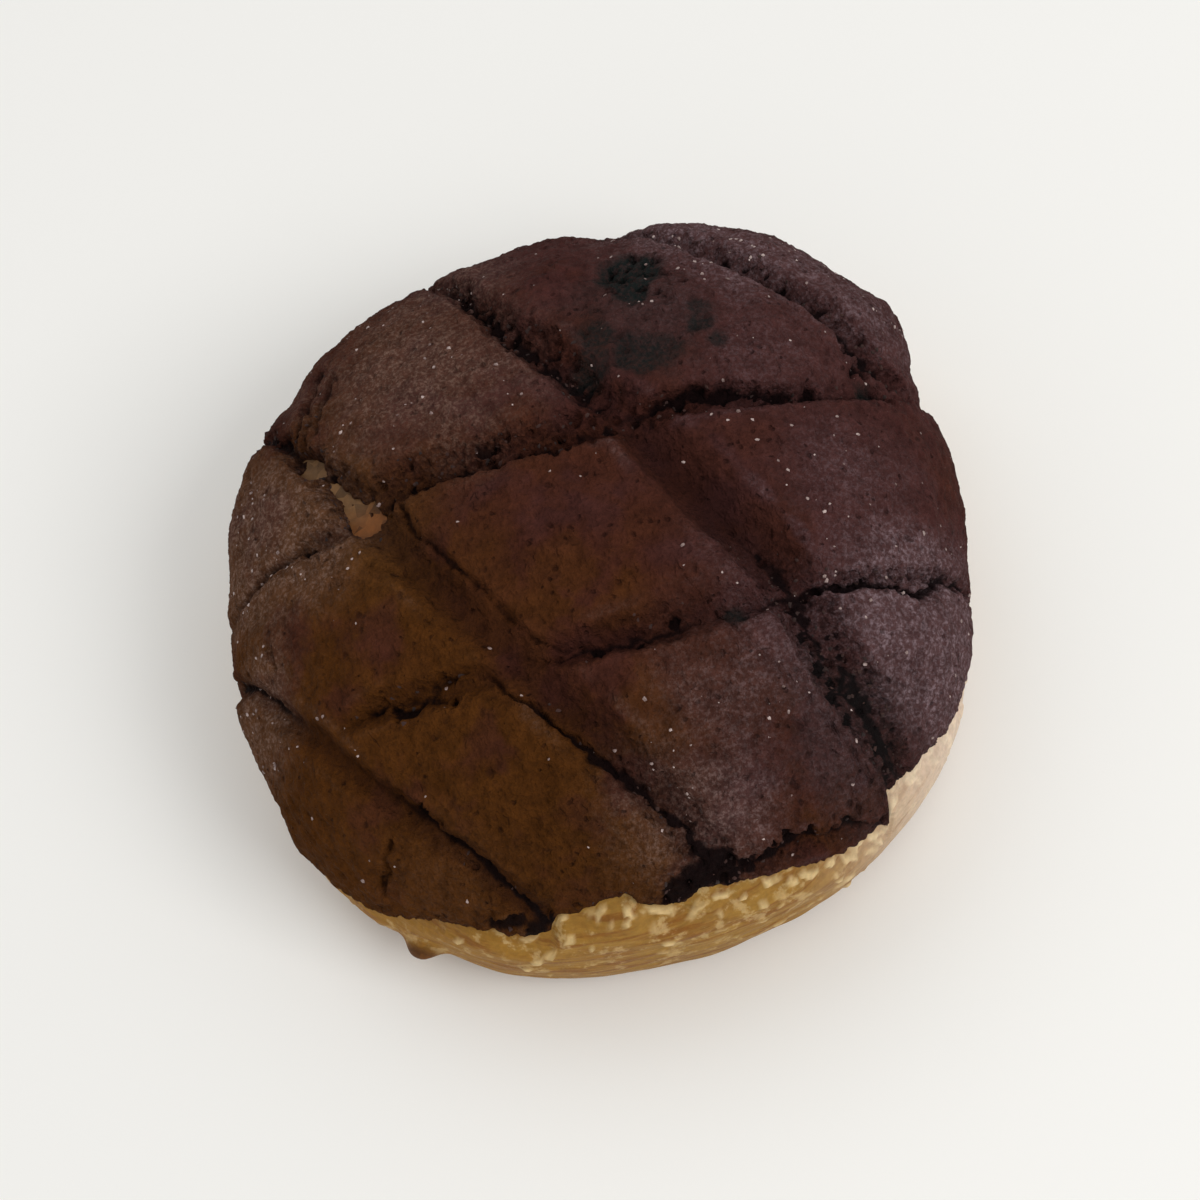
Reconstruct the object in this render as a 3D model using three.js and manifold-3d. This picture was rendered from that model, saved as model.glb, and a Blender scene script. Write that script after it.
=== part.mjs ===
// A cocoa melon pan: a round milk-dough bun under a sheet of cocoa cookie dough.
// The cookie sheet is scored into diamonds by two families of grooves, and its edge is torn.
// Units are millimetres, +Z is up, and the origin is the middle of the flat base.
// Named angles are in degrees, and the functions take radians.
import * as THREE from "three";
import { mergeVertices } from "three/addons/utils/BufferGeometryUtils.js";
import Module from "manifold-3d";

const DEG = Math.PI / 180;

// ---- Driving dimensions of the whole bun ----
const MEAN_RADIUS = 60.6;
const EQUATOR_HEIGHT = 19.4; // where the bun is widest
const DOME_RISE = 33; // from the equator to the top
const DOME_SHOULDER = 2.35; // 2 is an ellipse, more is a fuller shoulder
const TUCK_UNDER = 0.14; // share of the radius lost from the equator to the base
// The plan is a little oval and a little square, as hand-shaped dough is.
const PLAN_WAVES = [
  { count: 2, height: 2.0, phase: 56 },
  { count: 3, height: 0.8, phase: 44 },
  { count: 4, height: 1.5, phase: 39 },
];
const FLAT_SIDE = { at: -164, depth: 2.2, spread: 38 }; // the plan is a little flatter here

// ---- Cookie sheet ----
const SHEET_TOP = 6.2; // thickness over the crown
const SHEET_EDGE = 1.7; // thickness near the torn edge
const SHEET_THINNING = 3; // the higher this power, the nearer to the edge the sheet gets thin
const LIP = 2.4; // length over which the edge is rounded off
const LIP_ROUND = 0.6; // share of the sheet's thickness that the rounding takes
const SEAT_GAP = 0.3; // between the sheet and the bun under it
const SHOULDER_DROP = 0.9; // how far a tile sinks towards its grooves
const SHOULDER_REACH = 6;
const GROOVE_FADE = 0.45; // share of a groove's depth that is lost towards the sheet's edge

// The edge hangs lower at the back than at the front, and the tears lift it here and there.
const EDGE_HEIGHT = 18.3;
const EDGE_TILT = 4.2;
const EDGE_WAVES = [
  { count: 5, height: 0.9, phase: 20 },
  { count: 9, height: 0.7, phase: 8 },
];
const EDGE_TEARS = [
  { at: -99, rise: 5, spread: 8 },
  { at: -60, rise: 3.5, spread: 4 },
  { at: 152, rise: 3, spread: 5 },
  { at: 20, rise: 3, spread: 6 },
];

// A groove runs at its angle in the plan, its middle lies offset from the centre, and curl bends it.
const GROOVES = [
  { angle: -61, offset: 48.1, curl: -0.0055, half: 5.6, depth: 5.0 },
  { angle: -67, offset: 11.7, curl: -0.00035, half: 6.0, depth: 4.6 },
  { angle: -64, offset: -23.4, curl: 0.00045, half: 5.2, depth: 4.2 },
  { angle: -56.5, offset: -50.7, curl: 0.00185, half: 4.2, depth: 3.8 },
  { angle: 3, offset: 55, curl: -0.008, half: 4.4, depth: 3.6 },
  { angle: -2.5, offset: 5.6, curl: 0, half: 4.6, depth: 4.2 },
  { angle: -1.6, offset: -27, curl: 0.0018, half: 4.0, depth: 3.2 },
  { angle: 7.7, offset: -56.3, curl: 0.0038, half: 4.2, depth: 3.8 },
];

// Where two grooves cross on the left, the sheet has split and shows the bun. The split's outline
// has an odd number of corners, which lie inside and outside of its oval in turn.
const SPLIT = { x: -30.5, y: 10, length: 15, width: 3.8, angle: -62, corners: 11, ragged: [1.08, 0.72] };

// A blob of dough that squeezed out low on the side.
const NUB = { at: -134, height: 8.5, reach: 2.6, spread: 3.4 };

// ---- Mesh density ----
const SHEET_RINGS = 30; // rings of the scored face, with six more points in each
const RING_STEP = 6;
const HIDDEN_COUNTS = [12, 24, 36, 48, 60, 90]; // rings on the faces that meet under the sheet
const SIDE_COUNT = 120;
const SIDE_RINGS = 8;
const SWELL_SHARE = 0.2; // share of the bare side over which the bun swells out below the sheet
const GATHER = 1.5; // within this distance, points are drawn in towards a groove's line
const SLOPE_STEP = 1e-3; // step in radians for the envelope's slopes
const STEEPEST = 0.12; // keeps distances over a nearly upright flank finite
const MERGE_DISTANCE = 1e-4; // points nearer than this are one

const COOKIE = new THREE.MeshStandardMaterial({ color: "#4a3029", roughness: 0.9, metalness: 0 });
const CRUMB = new THREE.MeshStandardMaterial({ color: "#b8905a", roughness: 0.75, metalness: 0 });

// The difference between two directions, at most half a turn either way.
function turn(a, b) {
  return Math.atan2(Math.sin(a - b), Math.cos(a - b));
}

// A smooth bump of height one at a direction given in degrees.
function bump(phi, at, spread) {
  return Math.exp(-Math.pow(turn(phi, at * DEG) / (spread * DEG), 2));
}

// The bun's radius in plan, in the direction phi.
function planRadius(phi) {
  return PLAN_WAVES.reduce(
    (radius, wave) => radius + wave.height * Math.cos(wave.count * (phi - wave.phase * DEG)),
    MEAN_RADIUS - FLAT_SIDE.depth * bump(phi, FLAT_SIDE.at, FLAT_SIDE.spread),
  );
}

// A point of the smooth envelope. The polar angle is zero at the top, a quarter turn at the
// equator and half a turn at the base's rim.
function envelope(phi, polar) {
  const above = polar <= Math.PI / 2;
  const share = above
    ? Math.pow(Math.sin(polar), 2 / DOME_SHOULDER)
    : 1 - TUCK_UNDER * (1 - Math.sin(polar));
  const rise = above ? DOME_RISE : EQUATOR_HEIGHT;
  const radius = share * planRadius(phi);
  return new THREE.Vector3(
    radius * Math.cos(phi),
    radius * Math.sin(phi),
    EQUATOR_HEIGHT + rise * Math.cos(polar),
  );
}

// The envelope's outward normal, from its slopes both ways.
function envelopeNormal(phi, polar) {
  const step = SLOPE_STEP;
  if (polar < step) return new THREE.Vector3(0, 0, 1);
  const down = envelope(phi, polar + step).sub(envelope(phi, polar - step));
  const round = envelope(phi + step, polar).sub(envelope(phi - step, polar));
  return down.cross(round).normalize();
}

// The polar angle at which the envelope has a given height.
function polarAtHeight(z) {
  const rise = z > EQUATOR_HEIGHT ? DOME_RISE : EQUATOR_HEIGHT;
  return Math.acos(THREE.MathUtils.clamp((z - EQUATOR_HEIGHT) / rise, -1, 1));
}

// The polar angle of the sheet's edge in the direction phi.
function edgePolar(phi) {
  let z = EDGE_HEIGHT - EDGE_TILT * Math.sin(phi);
  for (const wave of EDGE_WAVES) z += wave.height * Math.cos(wave.count * (phi - wave.phase * DEG));
  for (const tear of EDGE_TEARS) z += tear.rise * bump(phi, tear.at, tear.spread);
  return polarAtHeight(z);
}

// Signed distance in the plan from a groove's line, with the line's own normal.
function grooveOffset(groove, x, y) {
  const nx = -Math.sin(groove.angle * DEG);
  const ny = Math.cos(groove.angle * DEG);
  const along = x * ny - y * nx;
  return { across: x * nx + y * ny - groove.offset - groove.curl * along * along, nx, ny };
}

// Distance over the surface from a groove's line. On a steep flank it is longer than in the plan.
function surfaceDistance(groove, point, normal) {
  const { across, nx, ny } = grooveOffset(groove, point.x, point.y);
  const tilt = nx * normal.x + ny * normal.y;
  return across / Math.sqrt(Math.max(STEEPEST, 1 - tilt * tilt));
}

// How thick the sheet is at a share of the way from the crown to its edge.
function sheetThickness(share) {
  return SHEET_EDGE + (SHEET_TOP - SHEET_EDGE) * (1 - Math.pow(share, SHEET_THINNING));
}

// The scored face's height over the envelope: zero on a tile, negative in a groove.
function relief(point, normal, share) {
  let cut = 0;
  let nearest = Infinity;
  for (const groove of GROOVES) {
    const distance = Math.abs(surfaceDistance(groove, point, normal));
    const inside = Math.max(0, 1 - Math.pow(distance / groove.half, 2));
    cut = Math.max(cut, groove.depth * inside * inside);
    nearest = Math.min(nearest, distance);
  }
  const shoulder = SHOULDER_DROP * Math.exp(-nearest / SHOULDER_REACH);
  const fade = 1 - GROOVE_FADE * share * share;
  return (-(cut * fade + shoulder) * sheetThickness(share)) / SHEET_TOP;
}

// Draws a plan point in towards the grooves near it, so that the valleys come out sharp.
function gatherToGrooves(x, y, reach) {
  for (const groove of GROOVES) {
    const { across, nx, ny } = grooveOffset(groove, x, y);
    const shift = Math.abs(across) < reach ? across * (1 - Math.abs(across) / reach) : 0;
    x -= shift * nx;
    y -= shift * ny;
  }
  return [x, y];
}

// The envelope's directions at a plan point of its upper half.
function directionsAt(x, y) {
  const phi = Math.atan2(y, x);
  const share = Math.min(1, Math.hypot(x, y) / planRadius(phi));
  return [phi, Math.asin(Math.pow(share, DOME_SHOULDER / 2))];
}

// The directions phi of a ring with count points.
function ringDirections(count) {
  return Array.from({ length: count }, (_, i) => (2 * Math.PI * i) / count);
}

// One ring of the scored face, share being 0 at the crown and 1 at the sheet's edge.
function scoredRing(count, share) {
  return ringDirections(count).map((start) => {
    let phi = start;
    let polar = share * edgePolar(phi);
    if (polar < Math.PI / 2) {
      const level = envelopeNormal(phi, polar).z;
      const flat = envelope(phi, polar);
      [phi, polar] = directionsAt(...gatherToGrooves(flat.x, flat.y, GATHER * level));
    }
    const normal = envelopeNormal(phi, polar);
    const point = envelope(phi, polar);
    const edgeShare = Math.min(1, polar / edgePolar(phi));
    const toEdge = (1 - edgeShare) * edgePolar(phi) * MEAN_RADIUS;
    const round = toEdge < LIP ? 1 - Math.sqrt(1 - Math.pow(1 - toEdge / LIP, 2)) : 0;
    const height = relief(point, normal, edgeShare);
    const seat = -sheetThickness(edgeShare);
    return point.addScaledVector(normal, height + (seat - height) * round * LIP_ROUND);
  });
}

// The share of the way from the crown to the sheet's edge at which hidden ring number i lies.
function hiddenShare(i) {
  return (i + 1) / (HIDDEN_COUNTS.length + 1);
}

// One ring of a hidden face, inset below the envelope by the sheet's thickness and a gap.
function hiddenRing(count, share, gap) {
  return ringDirections(count).map((phi) => {
    const polar = share * edgePolar(phi);
    const inset = sheetThickness(share) + gap;
    return envelope(phi, polar).addScaledVector(envelopeNormal(phi, polar), -inset);
  });
}

// One ring of the bare side, share being 0 at the sheet's edge and 1 at the base's rim.
function sideRing(count, share) {
  return ringDirections(count).map((phi) => {
    const start = edgePolar(phi);
    const polar = start + (Math.PI - start) * share;
    const point = envelope(phi, polar);
    const normal = envelopeNormal(phi, polar);
    const swell = THREE.MathUtils.smoothstep(share, 0, SWELL_SHARE);
    const inset = (SHEET_EDGE + SEAT_GAP) * (1 - swell);
    const across = turn(phi, NUB.at * DEG) * MEAN_RADIUS;
    const up = point.z - NUB.height;
    const nub = NUB.reach * Math.exp(-(across * across + up * up) / (NUB.spread * NUB.spread));
    point.addScaledVector(normal, -inset);
    if (share < 1) {
      point.x += nub * Math.cos(phi);
      point.y += nub * Math.sin(phi);
    }
    return point;
  });
}

// A closed geometry from a stack of rings. The first and the last ring are single points.
function closedStack(rings) {
  const positions = rings.flat().flatMap((p) => [p.x, p.y, p.z]);
  const index = [];
  let base = 0;
  for (let k = 0; k + 1 < rings.length; k++) {
    const n = rings[k].length;
    const m = rings[k + 1].length;
    const next = base + n;
    let i = 0;
    let j = 0;
    while (i < (n > 1 ? n : 0) || j < (m > 1 ? m : 0)) {
      // The fuller ring steps first at a tie, so that a stack and its reverse get the same faces.
      const lead = (i + 1) * m - (j + 1) * n;
      const stepOuter = n === 1 || (m > 1 && (lead > 0 || (lead === 0 && m >= n)));
      const a = base + (i % n);
      const b = next + (j % m);
      if (stepOuter) {
        index.push(a, b, next + ((j + 1) % m));
        j++;
      } else {
        index.push(a, b, base + ((i + 1) % n));
        i++;
      }
    }
    base = next;
  }
  const geometry = new THREE.BufferGeometry();
  geometry.setAttribute("position", new THREE.Float32BufferAttribute(positions, 3));
  geometry.setIndex(index);
  return geometry;
}

const wasm = await Module();
wasm.setup();

// A closed three.js geometry as a solid.
function solidOf(geometry) {
  const plain = geometry.clone();
  plain.deleteAttribute("normal");
  plain.deleteAttribute("uv");
  const merged = mergeVertices(plain, MERGE_DISTANCE);
  return new wasm.Manifold(
    new wasm.Mesh({
      numProp: 3,
      vertProperties: new Float32Array(merged.attributes.position.array),
      triVerts: new Uint32Array(merged.index.array),
    }),
  );
}

// A solid as a three.js geometry.
function geometryOf(solid) {
  const mesh = solid.getMesh();
  const geometry = new THREE.BufferGeometry();
  geometry.setAttribute("position", new THREE.BufferAttribute(mesh.vertProperties, 3));
  geometry.setIndex(new THREE.BufferAttribute(mesh.triVerts, 1));
  geometry.computeVertexNormals();
  return geometry;
}

// The ragged slot that the split makes through the sheet.
function splitCutter() {
  const outline = ringDirections(SPLIT.corners).map((phi, i) => {
    const ragged = SPLIT.ragged[i % SPLIT.ragged.length];
    return new THREE.Vector2(
      (SPLIT.length / 2) * Math.cos(phi) * ragged,
      (SPLIT.width / 2) * Math.sin(phi) * ragged,
    );
  });
  const height = EQUATOR_HEIGHT + DOME_RISE;
  return new THREE.ExtrudeGeometry(new THREE.Shape(outline), { depth: height, bevelEnabled: false })
    .rotateZ(SPLIT.angle * DEG)
    .translate(SPLIT.x, SPLIT.y, height / 2);
}

// The scored cookie sheet with its torn edge and its split.
function cookieSheet() {
  const scored = Array.from({ length: SHEET_RINGS }, (_, k) =>
    scoredRing(RING_STEP * (k + 1), (k + 1) / SHEET_RINGS),
  );
  const crown = new THREE.Vector3(0, 0, 0);
  for (const point of scored[0]) crown.addScaledVector(point, 1 / RING_STEP);
  const under = [
    hiddenRing(SIDE_COUNT, 1, 0),
    ...HIDDEN_COUNTS.map((count, i) => hiddenRing(count, hiddenShare(i), 0)).reverse(),
  ];
  const underCrown = new THREE.Vector3(0, 0, EQUATOR_HEIGHT + DOME_RISE - SHEET_TOP);
  const shell = solidOf(closedStack([[crown], ...scored, ...under, [underCrown]]));
  return geometryOf(shell.subtract(solidOf(splitCutter())));
}

// The bun itself: a crown hidden by the sheet, a bare side and a flat base.
function bunBody() {
  const crown = new THREE.Vector3(0, 0, EQUATOR_HEIGHT + DOME_RISE - SHEET_TOP - SEAT_GAP);
  const hidden = HIDDEN_COUNTS.map((count, i) => hiddenRing(count, hiddenShare(i), SEAT_GAP));
  const side = Array.from({ length: SIDE_RINGS + 1 }, (_, k) =>
    sideRing(SIDE_COUNT, k / SIDE_RINGS),
  );
  return closedStack([[crown], ...hidden, ...side, [new THREE.Vector3(0, 0, 0)]]);
}

// A named mesh for one piece.
function piece(name, geometry, material) {
  const mesh = new THREE.Mesh(geometry, material);
  mesh.name = name;
  return mesh;
}

const melonPan = new THREE.Group();
melonPan.add(piece("bread", bunBody(), CRUMB));
melonPan.add(piece("cookie_crust", cookieSheet(), COOKIE));

export default melonPan;
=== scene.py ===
"""A cocoa melon pan: a round milk-dough bun under a scored sheet of dark cookie dough.

Lengths inside the shape code are millimetres, and meshes are written out in metres.
Bearings are plan angles in degrees, counted from +X towards +Y.
"""

import logging
import math
from dataclasses import dataclass, field
from enum import Enum, IntEnum
from functools import reduce
from typing import Any, ClassVar, Optional, Sequence, Union

import bmesh
import bpy
import numpy as np
from mathutils import Matrix, Vector


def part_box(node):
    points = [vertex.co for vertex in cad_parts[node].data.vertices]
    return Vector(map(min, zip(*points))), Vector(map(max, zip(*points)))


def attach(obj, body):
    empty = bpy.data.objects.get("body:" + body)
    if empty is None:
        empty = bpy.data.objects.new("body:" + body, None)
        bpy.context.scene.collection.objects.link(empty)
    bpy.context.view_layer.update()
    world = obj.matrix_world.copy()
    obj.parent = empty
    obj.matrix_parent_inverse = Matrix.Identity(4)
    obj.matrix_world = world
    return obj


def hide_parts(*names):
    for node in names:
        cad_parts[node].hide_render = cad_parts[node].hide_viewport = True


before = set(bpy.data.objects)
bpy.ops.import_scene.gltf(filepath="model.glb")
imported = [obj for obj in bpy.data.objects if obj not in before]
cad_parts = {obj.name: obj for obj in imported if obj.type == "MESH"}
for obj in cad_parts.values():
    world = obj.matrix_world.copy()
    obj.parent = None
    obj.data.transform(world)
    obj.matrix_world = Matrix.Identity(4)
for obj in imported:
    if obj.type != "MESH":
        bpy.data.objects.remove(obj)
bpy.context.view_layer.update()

LOG = logging.getLogger("melon_pan")
MM = 0.001

Colour = tuple[float, float, float, float]
Source = Union[bpy.types.NodeSocket, float, Sequence[float]]


class Slot(Enum):
    """The record's material slots."""

    BREAD = "bread"
    CRUST = "cookie_crust"


class Mark(Enum):
    """Vertex attributes that the shape code leaves for the finishes."""

    TORN = "torn"
    # Painted shade in the cracks, from their depth.
    CREVICE = "crevice"
    CHAR = "char"
    AMBER = "amber"
    PALE = "pale"
    # Painted shade in the groove valleys, from the depth of the cut.
    SCORE = "score"
    # A grey bloom that also paints a sheen, with painted highlights along the groove rims.
    DUST = "dust"
    ALLOWED = "allowed"


class Seed(IntEnum):
    """Seeds of what is left to chance, one for each thing that it shapes."""

    CREASE = 3
    WRINKLE = 4
    FINE = 5
    COARSE = 6
    SWELL = 7
    LUMP = 8
    CRUMB = 10
    HOLE = 14
    BLISTER_EDGE = 21
    SIDE_WRINKLE = 22
    SIDE_SWELL = 23
    SPLIT_LUMP = 24
    RIM_WAVE = 31
    RIM_NIBBLE = 32
    SUGAR_CLUMP = 51
    SUGAR = 61
    LOOSE_CRUMB = 71
    BLISTER = 77
    GROOVE_JAG = 40
    GROOVE_GAPE = 80
    GROOVE_PITS = 200


# ---------------------------------------------------------------- shape helpers


@dataclass(frozen=True)
class Noise:
    """Smooth seeded noise in space, roughly from -1 to 1."""

    seed: int
    table: int = 256
    layer_offset: float = 17.3
    span: float = 1.7

    def at(self, points: np.ndarray, size: float, octaves: int = 1) -> np.ndarray:
        """Sample the noise.

        Args:
            points: Places in millimetres, one row each.
            size: Width of the largest lumps.
            octaves: How many finer layers are added, each half as large.

        Returns:
            One value for each point.
        """
        rng = np.random.default_rng(int(self.seed))
        order = rng.permutation(self.table)
        slopes = rng.normal(size=(self.table, 3))
        slopes /= np.linalg.norm(slopes, axis=1, keepdims=True)
        wrap = self.table - 1
        total = np.zeros(len(points))
        for octave in range(octaves):
            place = points * (2.0**octave / size) + self.layer_offset * (octave + 1)
            cell = np.floor(place).astype(np.int64)
            part = place - cell
            ease = part**3 * (part * (part * 6 - 15) + 10)
            for corner in np.ndindex(2, 2, 2):
                x, y, z = ((cell + corner) & wrap).T
                pick = order[(order[(order[x] + y) & wrap] + z) & wrap]
                weight = np.prod(np.where(np.array(corner) == 1, ease, 1 - ease), axis=1)
                slope = np.einsum("ij,ij->i", part - corner, slopes[pick])
                total += 0.5**octave * weight * slope
        return total * self.span


def smoothstep(low: float, high: float, value: np.ndarray) -> np.ndarray:
    """Ease from 0 at low to 1 at high."""
    share = np.clip((value - low) / (high - low), 0.0, 1.0)
    return share * share * (3 - 2 * share)


def turn_between(a: np.ndarray, bearing: float) -> np.ndarray:
    """Degrees from a bearing to each angle in radians, the short way round."""
    return (np.degrees(a) - bearing + 180.0) % 360.0 - 180.0


def distance_to_path(points: np.ndarray, path: Sequence[tuple[float, float]]) -> np.ndarray:
    """Plan distance from each point to an open path.

    Args:
        points: Places in millimetres, of which x and y count.
        path: The path's corners.

    Returns:
        One distance for each point.
    """
    best = np.full(len(points), np.inf)
    for (ax, ay), (bx, by) in zip(path[:-1], path[1:]):
        run = np.array([bx - ax, by - ay])
        offset = points[:, :2] - (ax, ay)
        share = np.clip(offset @ run / (run @ run), 0.0, 1.0)
        best = np.minimum(best, np.linalg.norm(offset - share[:, None] * run, axis=1))
    return best


@dataclass(frozen=True)
class Wave:
    """One lobe pattern round the bun."""

    count: int
    height: float
    phase: float

    def around(self, phi: np.ndarray) -> np.ndarray:
        """The wave's height at each angle."""
        return self.height * np.cos(self.count * (phi - math.radians(self.phase)))


@dataclass(frozen=True)
class Dent:
    """A local change round the bun, in the direction of a bearing."""

    bearing: float
    height: float
    spread: float

    def around(self, phi: np.ndarray) -> np.ndarray:
        """The dent's height at each angle."""
        return self.height * np.exp(-((turn_between(phi, self.bearing) / self.spread) ** 2))


@dataclass(frozen=True)
class Envelope:
    """The smooth body that the whole bun keeps to, taken from the crust's box in the frame.

    A dent with a spread under narrow fades out below the equator, between the polar angles of
    pinch_fade, so that it doesn't pinch the bread.
    """

    mean_radius: float
    equator: float
    rise: float
    shoulder: float = 2.35
    tuck: float = 0.14
    narrow: float = 6.0
    pinch_fade: tuple[float, float] = (1.75, 2.3)
    table_rows: int = 1441
    waves: tuple[Wave, ...] = (Wave(2, 2.0, 56), Wave(3, 0.8, 44), Wave(4, 1.5, 39))
    dents: tuple[Dent, ...] = (
        Dent(69, -2.0, 5), Dent(13, -2.7, 5), Dent(25, 1.1, 4), Dent(48, 0.4, 10),
        Dent(-60, -0.8, 24), Dent(-98, -0.4, 14), Dent(163, -1.7, 7), Dent(176, -1.7, 8),
        Dent(-174, 0.4, 4), Dent(-165, -2.3, 12), Dent(-146, -1.4, 11), Dent(-130, -1.9, 10),
        Dent(132, -1.5, 4), Dent(97, 0.4, 5), Dent(5, -0.3, 10), Dent(-12, -0.3, 12),
        Dent(9, -0.9, 1.6), Dent(13.5, 0.9, 1.8),
    )
    RADIUS_SHARE: ClassVar[float] = 0.511
    EQUATOR_SHARE: ClassVar[float] = 0.372
    CROWN_MARGIN: ClassVar[float] = 0.2

    @classmethod
    def from_frame(cls) -> "Envelope":
        """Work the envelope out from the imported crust's box.

        Returns:
            The envelope, in millimetres.
        """
        low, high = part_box("cookie_crust")
        width = (high[1] - low[1]) / MM
        top = high[2] / MM
        equator = cls.EQUATOR_SHARE * top
        return cls(cls.RADIUS_SHARE * width, equator, top + cls.CROWN_MARGIN - equator)

    def plan_radius(self, phi: np.ndarray, pinch: Union[float, np.ndarray] = 1.0) -> np.ndarray:
        """The radius in plan at each angle.

        Args:
            phi: Angles in radians.
            pinch: How much of the narrow dents to keep, from 0 to 1.

        Returns:
            Radii in millimetres.
        """
        radius = self.mean_radius + sum(wave.around(phi) for wave in self.waves)
        for dent in self.dents:
            radius = radius + dent.around(phi) * (pinch if dent.spread < self.narrow else 1.0)
        return radius

    def profile(self, polar: np.ndarray) -> tuple[np.ndarray, np.ndarray]:
        """The share of the radius and the height at each polar angle.

        Args:
            polar: 0 at the crown, a right angle at the equator, two at the base's rim.

        Returns:
            Shares of the plan radius, and heights.
        """
        above = polar <= math.pi / 2
        sine = np.clip(np.sin(polar), 0.0, 1.0)
        share = np.where(above, sine ** (2 / self.shoulder), 1 - self.tuck * (1 - sine))
        rise = np.where(above, self.rise, self.equator)
        return share, self.equator + rise * np.cos(polar)

    def point(self, phi: np.ndarray, polar: np.ndarray) -> np.ndarray:
        """Points of the envelope.

        Args:
            phi: Angles round the bun in radians.
            polar: Polar angles, as many.

        Returns:
            One row for each pair of angles.
        """
        share, height = self.profile(polar)
        radius = share * self.plan_radius(phi, 1 - smoothstep(*self.pinch_fade, polar))
        return np.stack([radius * np.cos(phi), radius * np.sin(phi), height], axis=1)

    def normal(self, phi: np.ndarray, polar: np.ndarray) -> np.ndarray:
        """Outward normals of the envelope.

        Args:
            phi: Angles round the bun in radians.
            polar: Polar angles, as many.

        Returns:
            One unit vector for each pair of angles.
        """
        step = 2e-3
        polar = np.maximum(polar, 2 * step)
        down = self.point(phi, polar + step) - self.point(phi, polar - step)
        across = self.point(phi + step, polar) - self.point(phi - step, polar)
        normal = np.cross(down, across)
        return normal / np.linalg.norm(normal, axis=1, keepdims=True)

    def arc_table(self) -> tuple[np.ndarray, np.ndarray]:
        """Measure the way over the surface.

        Returns:
            Polar angles, and the length from the crown to each.
        """
        polar = np.linspace(0.0, math.pi, self.table_rows)
        share, height = self.profile(polar)
        steps = np.hypot(np.diff(share * self.mean_radius), np.diff(height))
        return polar, np.concatenate([[0.0], np.cumsum(steps)])

    def polar_at_height(self, z: np.ndarray) -> np.ndarray:
        """The polar angle at which the envelope has a height."""
        rise = np.where(z > self.equator, self.rise, self.equator)
        return np.arccos(np.clip((z - self.equator) / rise, -1.0, 1.0))


def ring_angles(count: int) -> np.ndarray:
    """Angles of a ring of evenly spaced points."""
    return 2 * math.pi * np.arange(count) / count


def outward(phi: np.ndarray) -> np.ndarray:
    """Level unit vectors in the directions phi."""
    return np.stack([np.cos(phi), np.sin(phi), np.zeros_like(phi)], axis=1)


def ring_faces(counts: Sequence[int]) -> np.ndarray:
    """Triangles of a closed stack of rings whose first and last ring are single points.

    Args:
        counts: How many points each ring has, from the crown outwards and round under.

    Returns:
        Triangles that point outwards, as rows of vertex numbers.
    """
    blocks = []
    base = 0
    for n, m in zip(counts[:-1], counts[1:]):
        outer = base + n
        if n == 1:
            j = np.arange(m)
            blocks.append(np.stack([np.full(m, base), outer + j, outer + (j + 1) % m], axis=1))
        elif m == 1:
            i = np.arange(n)
            blocks.append(np.stack([base + i, np.full(n, outer), base + (i + 1) % n], axis=1))
        else:
            ends = np.concatenate([(np.arange(n) + 1) / n, (np.arange(m) + 1) / m + 1e-9])
            inner_step = np.concatenate([np.ones(n, bool), np.zeros(m, bool)])
            order = np.argsort(ends, kind="stable")
            inner_step = inner_step[order]
            i = np.cumsum(inner_step) - inner_step
            j = np.cumsum(~inner_step) - ~inner_step
            a, b = base + i % n, outer + j % m
            last = np.where(inner_step, base + (i + 1) % n, outer + (j + 1) % m)
            blocks.append(np.stack([a, b, last], axis=1))
        base += n
    return np.concatenate(blocks)


def link(name: str, data: Any) -> bpy.types.Object:
    """Put a new object with some data into the scene.

    Args:
        name: The object's name.
        data: Its mesh, camera or light.

    Returns:
        The object, at the origin.
    """
    made = bpy.data.objects.new(name, data)
    bpy.context.scene.collection.objects.link(made)
    return made


def mesh_object(
    name: str,
    points: np.ndarray,
    faces: np.ndarray,
    marks: Optional[dict[Mark, np.ndarray]] = None,
) -> bpy.types.Object:
    """Make a smooth-shaded mesh object at the origin.

    Args:
        name: The object's name.
        points: Vertices in millimetres.
        faces: Triangles as rows of vertex numbers.
        marks: Values for each vertex, by attribute.

    Returns:
        The object, linked to the scene.
    """
    mesh = bpy.data.meshes.new(name)
    mesh.vertices.add(len(points))
    mesh.vertices.foreach_set("co", (points * MM).astype(np.float32).ravel())
    mesh.loops.add(faces.size)
    mesh.loops.foreach_set("vertex_index", faces.astype(np.int32).ravel())
    mesh.polygons.add(len(faces))
    mesh.polygons.foreach_set("loop_start", np.arange(0, faces.size, 3, dtype=np.int32))
    mesh.update(calc_edges=True)
    mesh.polygons.foreach_set("use_smooth", np.ones(len(faces), dtype=bool))
    for mark, values in (marks or {}).items():
        layer = mesh.attributes.new(mark.value, "FLOAT", "POINT")
        layer.data.foreach_set("value", values.astype(np.float32))
    return link(name, mesh)


def settle(piece: bpy.types.Object) -> bpy.types.Object:
    """Turn a piece with live modifiers into a plain mesh.

    Args:
        piece: The object, which is used up.

    Returns:
        A new object of the same name with no modifiers.
    """
    name = piece.name
    depsgraph = bpy.context.evaluated_depsgraph_get()
    mesh = bpy.data.meshes.new_from_object(
        piece.evaluated_get(depsgraph), preserve_all_data_layers=True, depsgraph=depsgraph
    )
    piece.modifiers.clear()
    bpy.data.objects.remove(piece)
    mesh.name = name
    return link(name, mesh)


# ---------------------------------------------------------------- scoring and tears


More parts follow.
